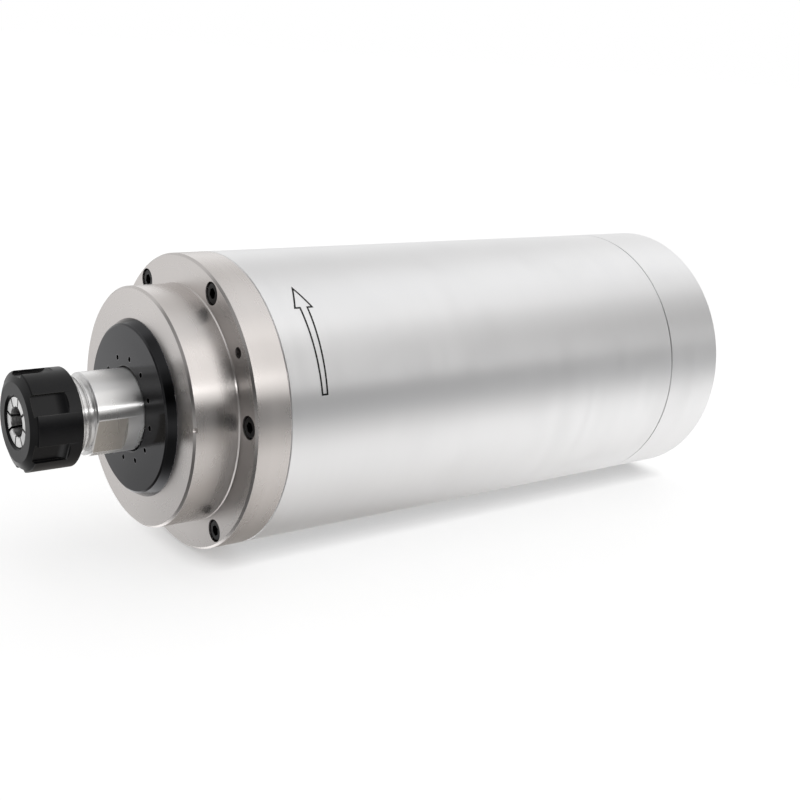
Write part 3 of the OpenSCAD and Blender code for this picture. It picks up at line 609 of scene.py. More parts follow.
# %% Rear cap
WATER_R, SPIGOT_HOLE_R, WATER_CIRCLE, WATER_CLOCKS = 1.8, 4.85, 47.8, [-65, -125]
CONNECTOR_R = 10.0
CAP_RECESS_X = CAP_BACK_X - 14
cap = turned(
    [
        (REAR_HOUSING_END_X, 43.0),
        (REAR_HOUSING_END_X, SPIGOT_R - 0.5),
        (REAR_HOUSING_END_X + 0.5, SPIGOT_R),
        (REAR_HOUSING_END_X + 0.9, SPIGOT_R),
        (REAR_HOUSING_END_X + 0.9, SPIGOT_R - 1.6),
        (REAR_HOUSING_END_X + 3.3, SPIGOT_R - 1.6),
        (REAR_HOUSING_END_X + 3.3, SPIGOT_R),
        (CAP_X, SPIGOT_R),
        (CAP_X, BODY_R - 0.45),
        (CAP_X + 0.45, BODY_R, 0.1),
        (CAP_BACK_X - 2, BODY_R, 0.3),
        (CAP_BACK_X, BODY_R - 2, 0.3),
        (CAP_BACK_X, CONNECTOR_R + 0.05),
        (CAP_RECESS_X, CONNECTOR_R + 0.05),
        (CAP_RECESS_X, 43.0),
    ],
    steps=256,
)
for tool, places in (
    (round_tool(CAP_X - 1, CAP_BACK_X - 4, SCREW_HOLE_R, SCREW_CIRCLE, 32), SCREW_CLOCKS),
    (round_tool(CAP_BACK_X - SEAT_DEPTH, CAP_BACK_X + 1, SEAT_R, SCREW_CIRCLE), SCREW_CLOCKS),
    (round_tool(REAR_HOUSING_END_X - 1, CAP_BACK_X - 10, WATER_R, WATER_CIRCLE, 32), WATER_CLOCKS),
    (round_tool(CAP_BACK_X - 12.5, CAP_BACK_X + 1, SPIGOT_HOLE_R, WATER_CIRCLE), WATER_CLOCKS),
):
    boolean(cap, around(tool, places))
finished(cap, "rear_end_cap", "housing", "body_metal", ["rear_cap"])

# %% [markdown]
# ## Cap screws
#
# A socket head cap screw has a knurled side, a small chamfer round the top and a hexagon socket
# with a drilled, coned floor. One is modelled on the axis, and copied with its own mesh to each
# hole. The rear screws are the same with a longer shank, turned to point forwards.


# %% Cap screw
def cap_screw(shank_length):
    """A cap screw along +X whose head starts at x = 0, on the axis."""
    head_r, head_length, shank_r = 4.35, 5.0, 2.5
    knurl_from, knurl_depth, knurl_steps = 4.2, 0.035, 72
    socket_r, socket_depth, drill_r, drill_depth = 2.42, 2.5, 2.0, 1.0
    screw = turned(
        [
            (0, 0),
            (0, head_r - 0.45, 0.12),
            (0.45, head_r, 0.1),
            (head_length, head_r, 0.1),
            (head_length, shank_r),
            (head_length + shank_length - 0.5, shank_r),
            (head_length + shank_length, shank_r - 0.5),
            (head_length + shank_length, 0),
        ],
        steps=knurl_steps,
    )
    for vertex in screw.data.vertices:
        r = math.hypot(vertex.co.y, vertex.co.z)
        angle = math.degrees(math.atan2(vertex.co.z, vertex.co.y))
        tooth = round(angle / (360 / knurl_steps)) % 2
        if tooth and r > knurl_from * MM:
            vertex.co.y *= 1 - knurl_depth
            vertex.co.z *= 1 - knurl_depth
    boolean(screw, round_tool(-1, socket_depth, socket_r, 0, 6))
    clear_selection()
    bpy.ops.mesh.primitive_cone_add(
        vertices=24,
        radius1=drill_r * MM,
        radius2=0,
        depth=drill_depth * MM,
        location=((socket_depth + drill_depth / 2 - 0.01) * MM, 0, 0),
        rotation=(0, math.pi / 2, 0),
    )
    drill_point = bpy.context.object
    place_in_mesh(drill_point)
    return boolean(screw, drill_point)


def screw_ring(name, node, shank_length, x, facing, first_twist, twist):
    """Six cap screws on the screw circle, each twisted differently, as a fitter leaves them."""
    master = cap_screw(shank_length)
    for i, clock in enumerate(SCREW_CLOCKS):
        place = turn_to(clock) @ Matrix.Translation(Vector((x, 0, SCREW_CIRCLE)) * MM)
        turned_in = facing @ Matrix.Rotation(math.radians(first_twist + twist * i), 4, "X")
        screw = copied(master, place @ turned_in)
        finished(screw, f"{name}_{i + 1}", "housing", "black_oxide", [node] if i == 0 else [])
    bpy.data.objects.remove(master)


FORWARD, BACKWARD = Matrix.Identity(4), Matrix.Rotation(math.pi, 4, "Z")
screw_ring("front_cap_screw", "front_screws", 24.5, FLANGE_X + 0.5, FORWARD, 17, 23)
screw_ring("rear_cap_screw", "rear_cap_screws", 44.5, CAP_BACK_X - 0.5, BACKWARD, 0, 31)

# %% [markdown]
# ## Hose spigots
#
# Two brass fittings, plated with nickel, take the cooling water hoses. The hexagon's corners are
# bevelled by cutting it with a cone, which leaves the curved line on each flat that every nut and
# bolt head has.


# %% Hose spigot
def hose_spigot():
    """A hose spigot along +X whose hexagon starts at x = 0, on the axis."""
    stem = turned(
        [
            (-11.5, 2.2),
            (-11.5, 4.3),
            (-11.0, 4.8),
            (-0.5, 4.8),
            (5.0, 4.8),
            (5.0, 4.0),
            (19.0, 4.0, 0.15),
            (19.0, 3.5),
            (20.0, 3.5),
            (20.0, 3.95, 0.1),
            (23.0, 3.1, 0.25),
            (23.0, 2.2, 0.15),
        ],
        steps=64,
    )
    hexagon = round_tool(0, 5, 7.2, 0, 6)
    boolean(hexagon, round_tool(-1, 6, 3.0, 0, 32))
    cone = turned([(0, 0), (0, 6.35), (0.55, 7.3), (4.3, 7.3), (5, 6.1), (5, 0)], steps=96)
    boolean(hexagon, cone, "INTERSECT")
    return joined(stem, hexagon)


spigot = hose_spigot()
for name, clock in zip(("water_inlet", "water_outlet"), WATER_CLOCKS):
    place = turn_to(clock) @ Matrix.Translation(Vector((CAP_BACK_X, 0, WATER_CIRCLE)) * MM)
    finished(copied(spigot, place), f"{name}_spigot", "housing", "plated_fitting", [name])
bpy.data.objects.remove(spigot)

# %% [markdown]
# ## The power connector
#
# A round connector with four pins is screwed into the cap. Its shell has a flange, a screw thread
# for the plug's coupling ring and a key inside, so that the plug goes in one way only. The insert
# is black plastic, and the pins are brass.

# %% Power connector
SHELL_X, INSERT_X, PIN_X = CAP_RECESS_X - 5, CAP_RECESS_X + 2, 323.3
shell = turned(
    [
        (SHELL_X, 8.2),
        (SHELL_X, 9.6),
        (SHELL_X + 0.4, CONNECTOR_R),
        (CAP_BACK_X, CONNECTOR_R),
        (CAP_BACK_X, 13.0),
        (CAP_BACK_X + 2.1, 13.0, 0.15),
        (CAP_BACK_X + 2.5, 12.6, 0.15),
        (CAP_BACK_X + 2.5, 9.35),
        (CAP_BACK_X + 15.1, 9.35, 0.1),
        (CAP_BACK_X + 15.5, 9.0, 0.1),
        (CAP_BACK_X + 15.5, 8.2, 0.15),
    ],
    steps=128,
)
boolean(shell, box_tool(CAP_BACK_X + 7.0, CAP_BACK_X + 14.0, 2.0, 7.45, 8.6), "UNION")
finished(shell, "connector_shell_body", "housing", "plated_fitting", ["connector_shell"])
shell_thread = thread(CAP_BACK_X + 3.2, 11.2, 9.35, 9.98, 1.0, 64)
finished(shell_thread, "connector_shell_thread", "housing", "plated_fitting")

insert = turned(
    [
        (INSERT_X, 0),
        (INSERT_X, 8.15),
        (CAP_BACK_X + 6.2, 8.15, 0.2),
        (CAP_BACK_X + 6.5, 7.6, 0.1),
        (CAP_BACK_X + 6.5, 2.2, 0.1),
        (CAP_BACK_X + 6.1, 2.0, 0.1),
        (CAP_BACK_X + 6.1, 0),
    ],
    steps=96,
)
PIN_R, PIN_CIRCLE, PIN_CLOCKS = 1.25, 5.0, clocks(4, 45)
hole = round_tool(INSERT_X - 1, CAP_BACK_X + 8, PIN_R + 0.05, PIN_CIRCLE, 32)
boolean(insert, around(hole, PIN_CLOCKS))
finished(insert, "connector_insert_block", "housing", "insulator", ["connector_insert"])

PIN_END_X = CAP_BACK_X + 12.5
pin = turned(
    [
        (PIN_X, 0),
        (PIN_X, PIN_R),
        (PIN_END_X - 0.9, PIN_R, 0.9),
        (PIN_END_X, 0.35, 0.3),
        (PIN_END_X, 0),
    ],
    steps=32,
)
pin.data.transform(Matrix.Translation((0, 0, PIN_CIRCLE * MM)))
finished(around(pin, PIN_CLOCKS), "connector_pin_set", "housing", "brass", ["connector_pins"])

# %% [markdown]
# ## The direction arrow
#
# An outlined arrow on the tube shows which way the shaft turns. It is printed on, so it has
# almost no thickness: here it is a strip 0.04 mm thick whose corners are given as (x, clock
# angle) pairs and wrapped round the tube. Its straight runs are subdivided first, so that they
# follow the curve.

# %% Direction arrow
ARROW_CLEAR, ARROW_THICK, ARROW_LINE = 0.015, 0.04, 0.75
arrow_corners = [
    (102.2, 30.7),
    (98.0, 41.5),
    (100.5, 41.5),
    (100.6, 75.6),
    (103.7, 75.6),
    (104.7, 41.5),
    (107.2, 41.5),
]


def inset_corner(before, here, after, distance):
    """The outline's corner, moved inwards by a distance on the unrolled surface."""
    first = (here - before).normalized()
    second = (after - here).normalized()
    across = Vector((first.y, -first.x))
    lean = (across + Vector((second.y, -second.x))).normalized()
    return here + lean * distance / max(0.35, lean.dot(across))


flat = [Vector((x, math.radians(clock) * BODY_R)) for x, clock in arrow_corners]
following = flat[1:] + flat[:1]
inner = [inset_corner(flat[i - 1], flat[i], following[i], ARROW_LINE) for i in range(len(flat))]
arrow = loop_of([(corner.x, corner.y, 0) for corner in flat])
with editing(arrow):
    bpy.ops.mesh.extrude_edges_move()
for vertex, corner in zip(arrow.data.vertices[len(flat) :], inner):
    vertex.co = (corner.x * MM, corner.y * MM, 0)
with editing(arrow):
    bpy.ops.mesh.subdivide(number_cuts=24)
arrow_r = (BODY_R + ARROW_CLEAR) * MM
for vertex in arrow.data.vertices:
    angle = vertex.co.y / (BODY_R * MM)
    vertex.co = (vertex.co.x, -arrow_r * math.sin(angle), arrow_r * math.cos(angle))
apply_modifier(arrow, "SOLIDIFY", thickness=ARROW_THICK * MM, offset=1)
with editing(arrow):
    bpy.ops.mesh.normals_make_consistent(inside=False)
finished(arrow, "direction_arrow", "housing", "black_oxide")

# %% [markdown]
# ## Shader building blocks
#
# Each finish is a Principled shader fed by a few shared patterns. The patterns are node groups,
# built once, and give only masks and heights. Turned metal carries fine rings: lines that depend
# on the place along the axis on a cylinder, and on the radius on a face. Adding the two gives one
# number that works for both.


# %% Node helpers
def add_node(tree, kind, settings=None, **values):
    node = tree.nodes.new(kind)
    for key, value in (settings or {}).items():
        setattr(node, key, value)
    for key, value in values.items():
        name = key.replace("_", " ")
        socket = next(s for s in node.inputs if s.name.lower() == name.lower())
        socket.default_value = value
    return node


def math_node(tree, operation, first, second=None, third=None):
    node = tree.nodes.new("ShaderNodeMath")
    node.operation = operation
    for socket, value in zip(node.inputs, (first, second, third)):
        if value is None:
            continue
        if isinstance(value, (int, float)):
            socket.default_value = value
        else:
            tree.links.new(value, socket)
    return node.outputs[0]


def mixed(tree, factor, first, second):
    """A blend of two colours. Each is a tuple or another node's output."""
    node = add_node(tree, "ShaderNodeMix", {"data_type": "RGBA"})
    tree.links.new(factor, node.inputs[0])
    for socket, value in zip(node.inputs[6:8], (first, second)):
        if isinstance(value, tuple):
            socket.default_value = (*value, 1)
        else:
            tree.links.new(value, socket)
    return node.outputs[2]


def smooth_step(tree, value, low, high):
    node = add_node(tree, "ShaderNodeMapRange", {"interpolation_type": "SMOOTHSTEP"})
    node.inputs["From Min"].default_value = low
    node.inputs["From Max"].default_value = high
    tree.links.new(value, node.inputs["Value"])
    return node.outputs[0]


def place_on_lathe(tree):
    """How far a point lies along the X axis, and how far from it."""
    place = add_node(tree, "ShaderNodeTexCoord")
    split = add_node(tree, "ShaderNodeSeparateXYZ")
    tree.links.new(place.outputs["Object"], split.inputs[0])
    squares = [math_node(tree, "MULTIPLY", side, side) for side in split.outputs[1:3]]
    return split.outputs[0], math_node(tree, "SQRT", math_node(tree, "ADD", *squares))


def new_group(name, inputs, outputs):
    tree = bpy.data.node_groups.new(name, "ShaderNodeTree")
    for label, value in inputs.items():
        socket = tree.interface.new_socket(label, in_out="INPUT", socket_type="NodeSocketFloat")
        socket.default_value = value
    for label in outputs:
        tree.interface.new_socket(label, in_out="OUTPUT", socket_type="NodeSocketFloat")
    return tree, tree.nodes.new("NodeGroupInput"), tree.nodes.new("NodeGroupOutput")


def use_group(tree, name, **values):
    return add_node(tree, "ShaderNodeGroup", {"node_tree": bpy.data.node_groups[name]}, **values)


# %% Turned rings
FACE_SHARE = 0.8
rings, given, result = new_group("turned_rings", {"Lines per mm": 6.0}, ["Height", "Tone"])
along, radius = place_on_lathe(rings)
ring_place = math_node(rings, "ADD", along, math_node(rings, "MULTIPLY", radius, FACE_SHARE))
in_mm = math_node(rings, "MULTIPLY", ring_place, 1 / MM)
line_count = math_node(rings, "MULTIPLY", in_mm, given.outputs[0])
one_way = {"noise_dimensions": "1D"}
fine = add_node(rings, "ShaderNodeTexNoise", one_way, detail=2.0, roughness=0.6, scale=1.0)
rings.links.new(line_count, fine.inputs["W"])
rings.links.new(fine.outputs[0], result.inputs["Height"])
broad = add_node(rings, "ShaderNodeTexNoise", one_way, detail=3.0, scale=120.0)
rings.links.new(ring_place, broad.inputs["W"])
rings.links.new(broad.outputs[0], result.inputs["Tone"])

# %% Handling marks
marks, given, result = new_group("handling_marks", {"Size": 30.0, "Amount": 1.0}, ["Mask"])
place = add_node(marks, "ShaderNodeTexCoord")
cloud = add_node(marks, "ShaderNodeTexNoise", detail=4.0, roughness=0.55, distortion=0.4)
marks.links.new(place.outputs["Object"], cloud.inputs["Vector"])
marks.links.new(given.outputs["Size"], cloud.inputs["Scale"])
spread = smooth_step(marks, cloud.outputs[0], 0.4, 0.75)
amount = math_node(marks, "MULTIPLY", spread, given.outputs["Amount"])
marks.links.new(amount, result.inputs["Mask"])

# %% Worn edges and painted edge highlights
# The mask marks the broken edges. Their lighter colour is partly wear and partly a painted
# highlight.
WEAR_AND_HIGHLIGHT_CONTRAST = 12.0
wear_and_highlight, given, result = new_group("worn_and_highlit_edges", {"Radius mm": 0.4, "Amount": 1.0}, ["Mask"])
soft = add_node(wear_and_highlight, "ShaderNodeBevel", {"samples": 6})
wear_and_highlight.links.new(math_node(wear_and_highlight, "MULTIPLY", given.outputs["Radius mm"], MM), soft.inputs["Radius"])
hard = add_node(wear_and_highlight, "ShaderNodeNewGeometry")
agree = add_node(wear_and_highlight, "ShaderNodeVectorMath", {"operation": "DOT_PRODUCT"})
wear_and_highlight.links.new(soft.outputs[0], agree.inputs[0])
wear_and_highlight.links.new(hard.outputs["Normal"], agree.inputs[1])
edge = math_node(wear_and_highlight, "SUBTRACT", 1.0, agree.outputs["Value"])
edge = math_node(wear_and_highlight, "MULTIPLY", edge, WEAR_AND_HIGHLIGHT_CONTRAST)
place = add_node(wear_and_highlight, "ShaderNodeTexCoord")
chips = add_node(wear_and_highlight, "ShaderNodeTexNoise", detail=5.0, scale=900.0)
wear_and_highlight.links.new(place.outputs["Object"], chips.inputs["Vector"])
edge = math_node(wear_and_highlight, "MULTIPLY", edge, chips.outputs[0])
edge = math_node(wear_and_highlight, "MULTIPLY", edge, given.outputs["Amount"])
wear_and_highlight.links.new(math_node(wear_and_highlight, "MINIMUM", edge, 1.0), result.inputs["Mask"])

# %% [markdown]
# ## Milled flats
#
# The two spanner flats are given a darker colour than the round of the nose.
# They are the only part of the nose that lies closer to the axis than its own radius, so a mask
# can find them by place.

# %% Milled flats
milled, given, result = new_group("milled_flats", {"Nose radius mm": NOSE_R}, ["Mask"])
along, radius = place_on_lathe(milled)
limit = math_node(milled, "MULTIPLY_ADD", given.outputs[0], MM, -0.08 * MM)
inside = math_node(milled, "LESS_THAN", radius, limit)
start = math_node(milled, "GREATER_THAN", along, (SHOULDER_X + 0.7) * MM)
end = math_node(milled, "LESS_THAN", along, (SHOULDER_X + FLAT_LENGTH - 0.05) * MM)
mask = math_node(milled, "MULTIPLY", math_node(milled, "MULTIPLY", inside, start), end)
milled.links.new(mask, result.inputs["Mask"])
print("node groups:", [group.name for group in bpy.data.node_groups])

# %% [markdown]
# ## The metals
#
# A turned surface scatters light along the axis, across its rings. The Anisotropic setting does
# this, with a tangent that runs round the axis and is then turned by a quarter. The same recipe
# with other colours, roughness and ring spacing makes every turned metal here. `depth` is how
# strongly the rings show, `blot` and `tint` how much the roughness and the tone wander, the edge
# colour argument the colour of a rubbed edge, which also paints a highlight along it, and
# `flats` how much of its colour a milled face keeps.


# %% Metal finishes
finishes = {}


def new_finish(name):
    """Starts a material, keeps it under its name, and gives its nodes and its shader."""
    material = bpy.data.materials.new(name)
    material.use_nodes = True
    finishes[name] = material
    return material.node_tree, material.node_tree.nodes["Principled BSDF"]


# Mixes the edge colour in along broken edges: partly wear, partly a painted highlight.
def add_wear_and_highlight(tree, colour, worn_and_lit_edge):
    return mixed(tree, use_group(tree, "worn_and_highlit_edges").outputs[0], colour, worn_and_lit_edge)


def metal(
    name,
    colour,
    roughness,
    anisotropy=0.0,
    lines=6.0,
    depth=0.15,
    blot=0.05,
    tint=0.06,
    worn_and_lit_edge=None,
    flats=None,
):
    tree, shader = new_finish(name)
    shader.inputs["Metallic"].default_value = 1.0
    shader.inputs["Anisotropic"].default_value = anisotropy
    shader.inputs["Anisotropic Rotation"].default_value = 0.25
    if anisotropy:
        tangent = add_node(tree, "ShaderNodeTangent", {"direction_type": "RADIAL", "axis": "X"})
        tree.links.new(tangent.outputs[0], shader.inputs["Tangent"])
    ring = use_group(tree, "turned_rings", lines_per_mm=lines)
    blots = use_group(tree, "handling_marks", size=35.0)
    bump = add_node(tree, "ShaderNodeBump", strength=depth, distance=0.02 * MM)
    tree.links.new(ring.outputs["Height"], bump.inputs["Height"])
    tree.links.new(bump.outputs[0], shader.inputs["Normal"])
    rough = math_node(tree, "MULTIPLY_ADD", blots.outputs[0], blot, roughness)
    rough = math_node(tree, "MULTIPLY_ADD", ring.outputs["Tone"], 0.06, rough)
    tree.links.new(math_node(tree, "SUBTRACT", rough, 0.03), shader.inputs["Roughness"])
    dark = tuple(c * (1 - tint) for c in colour)
    light = tuple(min(1, c * (1 + tint)) for c in colour)
    final = mixed(tree, ring.outputs["Tone"], dark, light)
    if flats:
        warm_grey = (flats, flats * 0.95, flats * 0.88)
        darker_flat_colour = tuple(c * share for c, share in zip(colour, warm_grey))
        final = mixed(tree, use_group(tree, "milled_flats").outputs[0], final, darker_flat_colour)
    if worn_and_lit_edge:
        final = add_wear_and_highlight(tree, final, worn_and_lit_edge)
    tree.links.new(final, shader.inputs["Base Color"])


POLISHED, NICKEL, GROUND = (0.93, 0.93, 0.935), (0.72, 0.685, 0.665), (0.88, 0.875, 0.87)
metal("body_metal", POLISHED, 0.36, 0.90, lines=3, depth=0.03, blot=0.03, tint=0.012)
metal("nickel_steel", NICKEL, 0.27, 0.78, lines=1.5, depth=0.015, blot=0.03, tint=0.03)
metal("ground_steel", GROUND, 0.27, 0.90, lines=4, depth=0.02, blot=0.03, tint=0.02, flats=0.6)
metal("bearing_steel", (0.62, 0.62, 0.64), 0.22, 0.3)
metal("cast_aluminium", (0.75, 0.76, 0.77), 0.38, 0.3, lines=4, depth=0.3)
metal("plated_fitting", (0.74, 0.73, 0.70), 0.18, 0.2, lines=5, depth=0.1)
metal("brass", (0.80, 0.61, 0.28), 0.25, 0.3, lines=5)
metal("laminations", (0.26, 0.27, 0.30), 0.45, lines=2, depth=0.8, blot=0.1, tint=0.25)
metal("copper", (0.62, 0.26, 0.10), 0.38, lines=1.2, depth=0.9, blot=0.1, tint=0.2)

# %% [markdown]
# ## Blacks, plastics and rubber
#
# Blackened steel is a thin dark oxide: a dark base with a low gloss, slightly brown at the edges,
# partly where it is worn through and partly as a painted highlight. Anodised aluminium is a hard
# black layer that keeps the turned rings under it; its edges turn light grey, partly rubbed bare
# and partly a painted highlight. Plastics and rubber get a fine grain instead, and the plastics a
# thin clear coat.


# %% Coated and moulded finishes
def coated(
    name,
    colour,
    roughness,
    coat,
    coat_roughness,
    grain=900.0,
    depth=0.2,
    lines=None,
    worn_and_lit_edge=None,
    gloss=0.5,
):
    tree, shader = new_finish(name)
    shader.inputs["Specular IOR Level"].default_value = gloss
    shader.inputs["Coat Weight"].default_value = coat
    shader.inputs["Coat Roughness"].default_value = coat_roughness
    blots = use_group(tree, "handling_marks", size=60.0)
    bump = add_node(tree, "ShaderNodeBump", strength=depth, distance=0.03 * MM)
    if lines:
        ring = use_group(tree, "turned_rings", lines_per_mm=lines)
        tree.links.new(ring.outputs["Height"], bump.inputs["Height"])
    else:
        place = add_node(tree, "ShaderNodeTexCoord")
        cloud = add_node(tree, "ShaderNodeTexNoise", scale=grain, detail=3.0)
        tree.links.new(place.outputs["Object"], cloud.inputs["Vector"])
        tree.links.new(cloud.outputs[0], bump.inputs["Height"])
    tree.links.new(bump.outputs[0], shader.inputs["Normal"])
    rough = math_node(tree, "MULTIPLY_ADD", blots.outputs[0], 0.08, roughness)
    tree.links.new(rough, shader.inputs["Roughness"])
    final = mixed(tree, blots.outputs[0], colour, tuple(c * 1.35 for c in colour))
    if worn_and_lit_edge:
        final = add_wear_and_highlight(tree, final, worn_and_lit_edge)
    tree.links.new(final, shader.inputs["Base Color"])


# The rubbed edge colours are partly wear and partly a painted highlight along the edges.
OXIDE, RUBBED_AND_LIT_OXIDE = (0.004, 0.004, 0.005), (0.05, 0.048, 0.045)
ANODISED, RUBBED_AND_LIT_ANODISED = (0.060, 0.060, 0.063), (0.45, 0.44, 0.45)
coated("black_oxide", OXIDE, 0.30, 0.0, 0.2, depth=0.05, lines=3, worn_and_lit_edge=RUBBED_AND_LIT_OXIDE, gloss=0.27)
metal(
    "black_anodised",
    ANODISED,
    0.12,
    0.30,
    lines=3,
    depth=0.02,
    blot=0.04,
    tint=0.08,
    worn_and_lit_edge=RUBBED_AND_LIT_ANODISED,
)
coated("phenolic", (0.35, 0.20, 0.08), 0.5, 0.1, 0.3, grain=2500)
coated("rubber", (0.015, 0.015, 0.015), 0.65, 0.0, 0.3, grain=1500)
coated("lead_insulation", (0.42, 0.04, 0.03), 0.5, 0.15, 0.3, grain=1200)
coated("insulator", (0.02, 0.02, 0.022), 0.45, 0.1, 0.25, grain=2000, depth=0.15)

# %% [markdown]
# ## Giving out the finishes
#
# The record names a material slot for every node, and each new piece was given one when it was
# finished. So one loop dresses them all: the new pieces and the CAD nodes that stay.

# %% Dress every piece
slot_of = {row["node"]: row["material_slot"] for row in frame["record"]["subparts"]}
for name, node in frame["nodes"].items():
    node.data.materials.clear()
    node.data.materials.append(finishes[slot_of[name]])
for name, piece in pieces.items():
    piece.data.materials.clear()
    piece.data.materials.append(finishes[piece["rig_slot"]])
print("dressed:", len(frame["nodes"]) + len(pieces))

# %% [markdown]
# ## Floor
#
# The spindle lies on white paper. The camera sees the paper almost pure white, but it still has
# to take the soft shadow, so most of its brightness is emission and the rest is diffuse. An
# Ambient Occlusion node dims the emission close to the tube: a painted contact shadow where the
# paper would be darkest. The metal mirrors the painted studio instead of the paper.

# %% Floor
FLOOR_SIZE, FLOOR_GAP = 40, 0.0002
clear_selection()
bpy.ops.mesh.primitive_plane_add(size=1, location=(0.2, 0, -BODY_R * MM - FLOOR_GAP))
floor = bpy.context.object
floor.name = "paper_floor"
floor.scale = (FLOOR_SIZE, FLOOR_SIZE, 1)
place_in_mesh(floor)
floor.visible_glossy = False
paper = bpy.data.materials.new("paper")
paper.use_nodes = True
tree = paper.node_tree
tree.nodes.clear()
PAPER_GLOW, PAPER_SHADE, CLOSE_SHADOW = 0.68, 0.56, 0.62
lit = add_node(tree, "ShaderNodeBsdfDiffuse", color=(PAPER_SHADE, PAPER_SHADE, PAPER_SHADE, 1))
glow = add_node(tree, "ShaderNodeEmission")
path = add_node(tree, "ShaderNodeLightPath")
# The glow falls near the tube, which paints its contact shadow.
close = add_node(tree, "ShaderNodeAmbientOcclusion", {"samples": 8}, distance=0.011)
open_sky = math_node(tree, "MULTIPLY_ADD", close.outputs["AO"], CLOSE_SHADOW, 1 - CLOSE_SHADOW)
glow_with_painted_shadow = math_node(tree, "MULTIPLY", open_sky, PAPER_GLOW)
glow_seen = math_node(tree, "MULTIPLY", path.outputs["Is Camera Ray"], glow_with_painted_shadow)
tree.links.new(glow_seen, glow.inputs["Strength"])
both = add_node(tree, "ShaderNodeAddShader")
end = add_node(tree, "ShaderNodeOutputMaterial")
tree.links.new(lit.outputs[0], both.inputs[0])
tree.links.new(glow.outputs[0], both.inputs[1])
tree.links.new(both.outputs[0], end.inputs["Surface"])
floor.data.materials.append(paper)

# %% [markdown]
# ## Studio light
#
# Polished metal shows its surroundings, so the studio is painted round the axis as the metal
# should mirror it. Sweeps of paint go round the X axis, each a colour ramp by angle. Two make the
# room, whose bright band slants along the body. The third is narrow, and holds a soft box and the
# dark gap under it for the flange to mirror. All of it is dimmed ahead of the nose and straight
# behind the part. Camera rays see plain white instead.

# %% Studio light
world = bpy.data.worlds.new("studio")
bpy.context.scene.world = world
world.use_nodes = True
tree = world.node_tree
tree.nodes.clear()
place = add_node(tree, "ShaderNodeTexCoord")
split = add_node(tree, "ShaderNodeSeparateXYZ")
tree.links.new(place.outputs["Generated"], split.inputs[0])
toward_x, toward_y, toward_z = split.outputs
toward_camera = math_node(tree, "MULTIPLY", toward_y, -1.0)
angle_up = math_node(tree, "ARCTAN2", toward_z, toward_camera)
round_axis = math_node(tree, "ADD", math_node(tree, "DIVIDE", angle_up, 2 * math.pi), 0.5)


def painted(stops):
    """A sweep round the axis. A stop is an angle up from the camera, a value and a warmth."""
    node = tree.nodes.new("ShaderNodeValToRGB")
    ramp = node.color_ramp
    ramp.interpolation = "EASE"
    for i, (angle, value, warmth) in enumerate(stops):
        place_on_ramp = (angle + 180) / 360
        element = ramp.elements[i] if i < 2 else ramp.elements.new(place_on_ramp)
        element.position = place_on_ramp
        element.color = (value * (1 + warmth), value, value * (1 - warmth), 1)
    tree.links.new(round_axis, node.inputs[0])
    return node.outputs[0]


def multiply(*values):
    total = values[0]
    for value in values[1:]:
        total = math_node(tree, "MULTIPLY", total, value)
    return total


def dimmed(where, amount):
    """A factor that falls from one by an amount, where a mask is one."""
    return math_node(tree, "MULTIPLY_ADD", where, -amount, 1.0)


STUDIO_STRENGTH, NOSE_SIDE_X = 1.25, 0.36
room_low = [
    (-180, 0.60, 0),
    (-140, 1.15, 0),
    (-111, 1.2, 0),
    (-64, 1.18, 0),
    (-37, 1.22, 0),
    (-11, 0.86, 0),
]
room_front = painted(
    room_low
    + [
        (5, 0.40, 0),
        (24, 0.05, 0),
        (40, 0.10, 0),
        (54, 0.44, 0),
        (70, 0.94, 0),
        (88, 0.94, 0),
        (110, 0.62, 0),
        (140, 0.52, 0),
        (180, 0.56, 0),
    ]
)
room_back = painted(
    room_low
    + [
        (5, 0.84, 0),
        (20, 0.46, 0),
        (42, 0.04, 0),
        (60, 0.12, 0),
        (76, 0.40, 0),
        (96, 0.90, 0),
        (120, 1.15, 0),
        (145, 1.10, 0),
        (180, 0.72, 0),
    ]
)
nose_side = painted(
    [
        (-180, 0.36, 0.03),
        (-144, 0.26, 0.05),
        (-118, 0.24, 0.05),
        (-93, 0.27, 0.05),
        (-68, 0.35, 0.05),
        (-55, 0.42, 0.03),
        (-42, 0.46, 0.03),
        (-30, 0.44, 0.03),
        (-17, 0.24, 0.05),
        (-4, 0.0, 0.08),
        (9, 0.06, 0.05),
        (20, 0.95, 0.01),
        (35, 1.20, 0.01),
        (58, 1.10, 0.01),
        (86, 0.68, 0),
        (124, 0.55, 0.01),
        (161, 0.80, 0),
        (180, 0.62, 0),
    ]
)


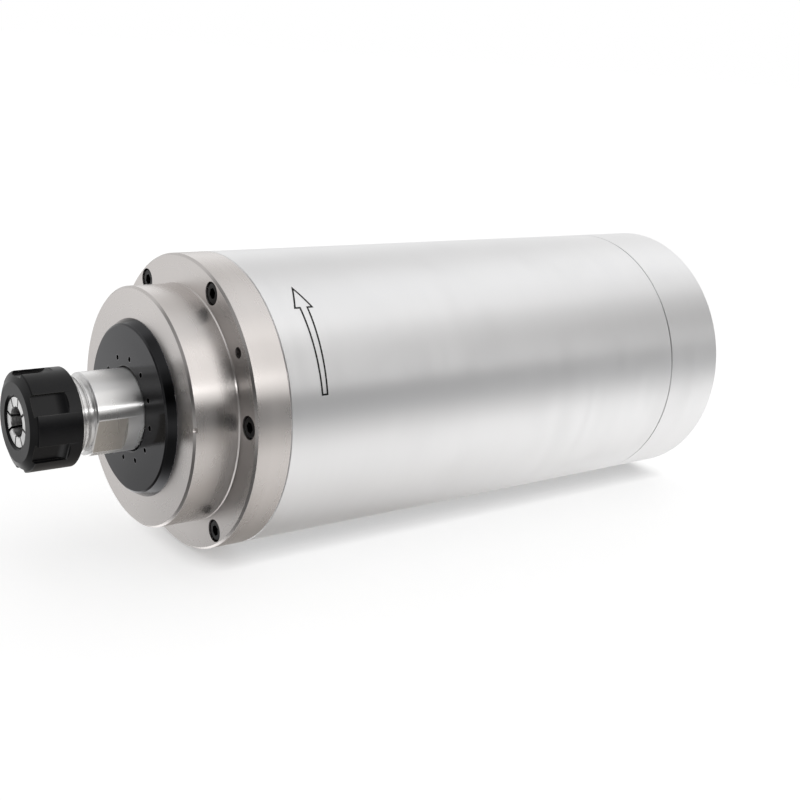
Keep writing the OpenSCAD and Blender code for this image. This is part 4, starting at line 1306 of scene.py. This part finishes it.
room = mixed(tree, smooth_step(tree, toward_x, 0.3, 0.9), room_front, room_back)
from_middle = math_node(tree, "ABSOLUTE", math_node(tree, "SUBTRACT", toward_x, NOSE_SIDE_X))
paint = mixed(tree, smooth_step(tree, from_middle, 0.31, 0.18), room, nose_side)
ahead = smooth_step(tree, toward_x, -0.1, -0.35)
dark_near = dimmed(multiply(ahead, smooth_step(tree, toward_y, 0.65, 0.35)), 0.7)
dark_behind = dimmed(smooth_step(tree, toward_x, 0.82, 0.97), 0.56)
dark_low = dimmed(multiply(ahead, smooth_step(tree, toward_z, -0.15, -0.5)), 0.75)
path = add_node(tree, "ShaderNodeLightPath")
seen = mixed(tree, path.outputs["Is Camera Ray"], paint, (1, 1, 1))
strength = add_node(tree, "ShaderNodeMix", {"data_type": "FLOAT"})
tree.links.new(path.outputs["Is Camera Ray"], strength.inputs[0])
tree.links.new(multiply(dark_near, dark_low, dark_behind, STUDIO_STRENGTH), strength.inputs[2])
strength.inputs[3].default_value = 1.0
sky = add_node(tree, "ShaderNodeBackground")
tree.links.new(seen, sky.inputs["Color"])
tree.links.new(strength.outputs[0], sky.inputs["Strength"])
end = add_node(tree, "ShaderNodeOutputWorld")
tree.links.new(sky.outputs[0], end.inputs["Surface"])

# %% [markdown]
# ## Strip lamp
#
# One small strip lamp stands in front of the nose. Its reflection draws the sharp white line
# along the ground steel. Light linking keeps it to the pieces at the nose, because on the satin
# body it would make a hot spot.

# %% Strip lamp
LAMP_X, LAMP_CLOCK, LAMP_DISTANCE, LAMP_WATTS = 60, 64, 400, 0.13
clear_selection()
bpy.ops.object.light_add(type="AREA")
strip = bpy.context.object
strip.name = "strip_lamp"
strip.data.shape = "RECTANGLE"
strip.data.size, strip.data.size_y = 0.12, 0.02
strip.data.energy = LAMP_WATTS
lamp_place = Vector((LAMP_X, 0, LAMP_DISTANCE)) * MM
strip.matrix_world = turn_to(LAMP_CLOCK) @ Matrix.Translation(lamp_place)
strip.visible_camera = False
nose_pieces = bpy.data.collections.new("nose_pieces")
lit_pieces = ["shaft_body", "nose_thread", "front_flange", "front_cover_disc", "collet_nut_body"]
for name in lit_pieces + ["collet_sleeve"]:
    nose_pieces.objects.link(pieces[name])
strip.light_linking.receiver_collection = nose_pieces
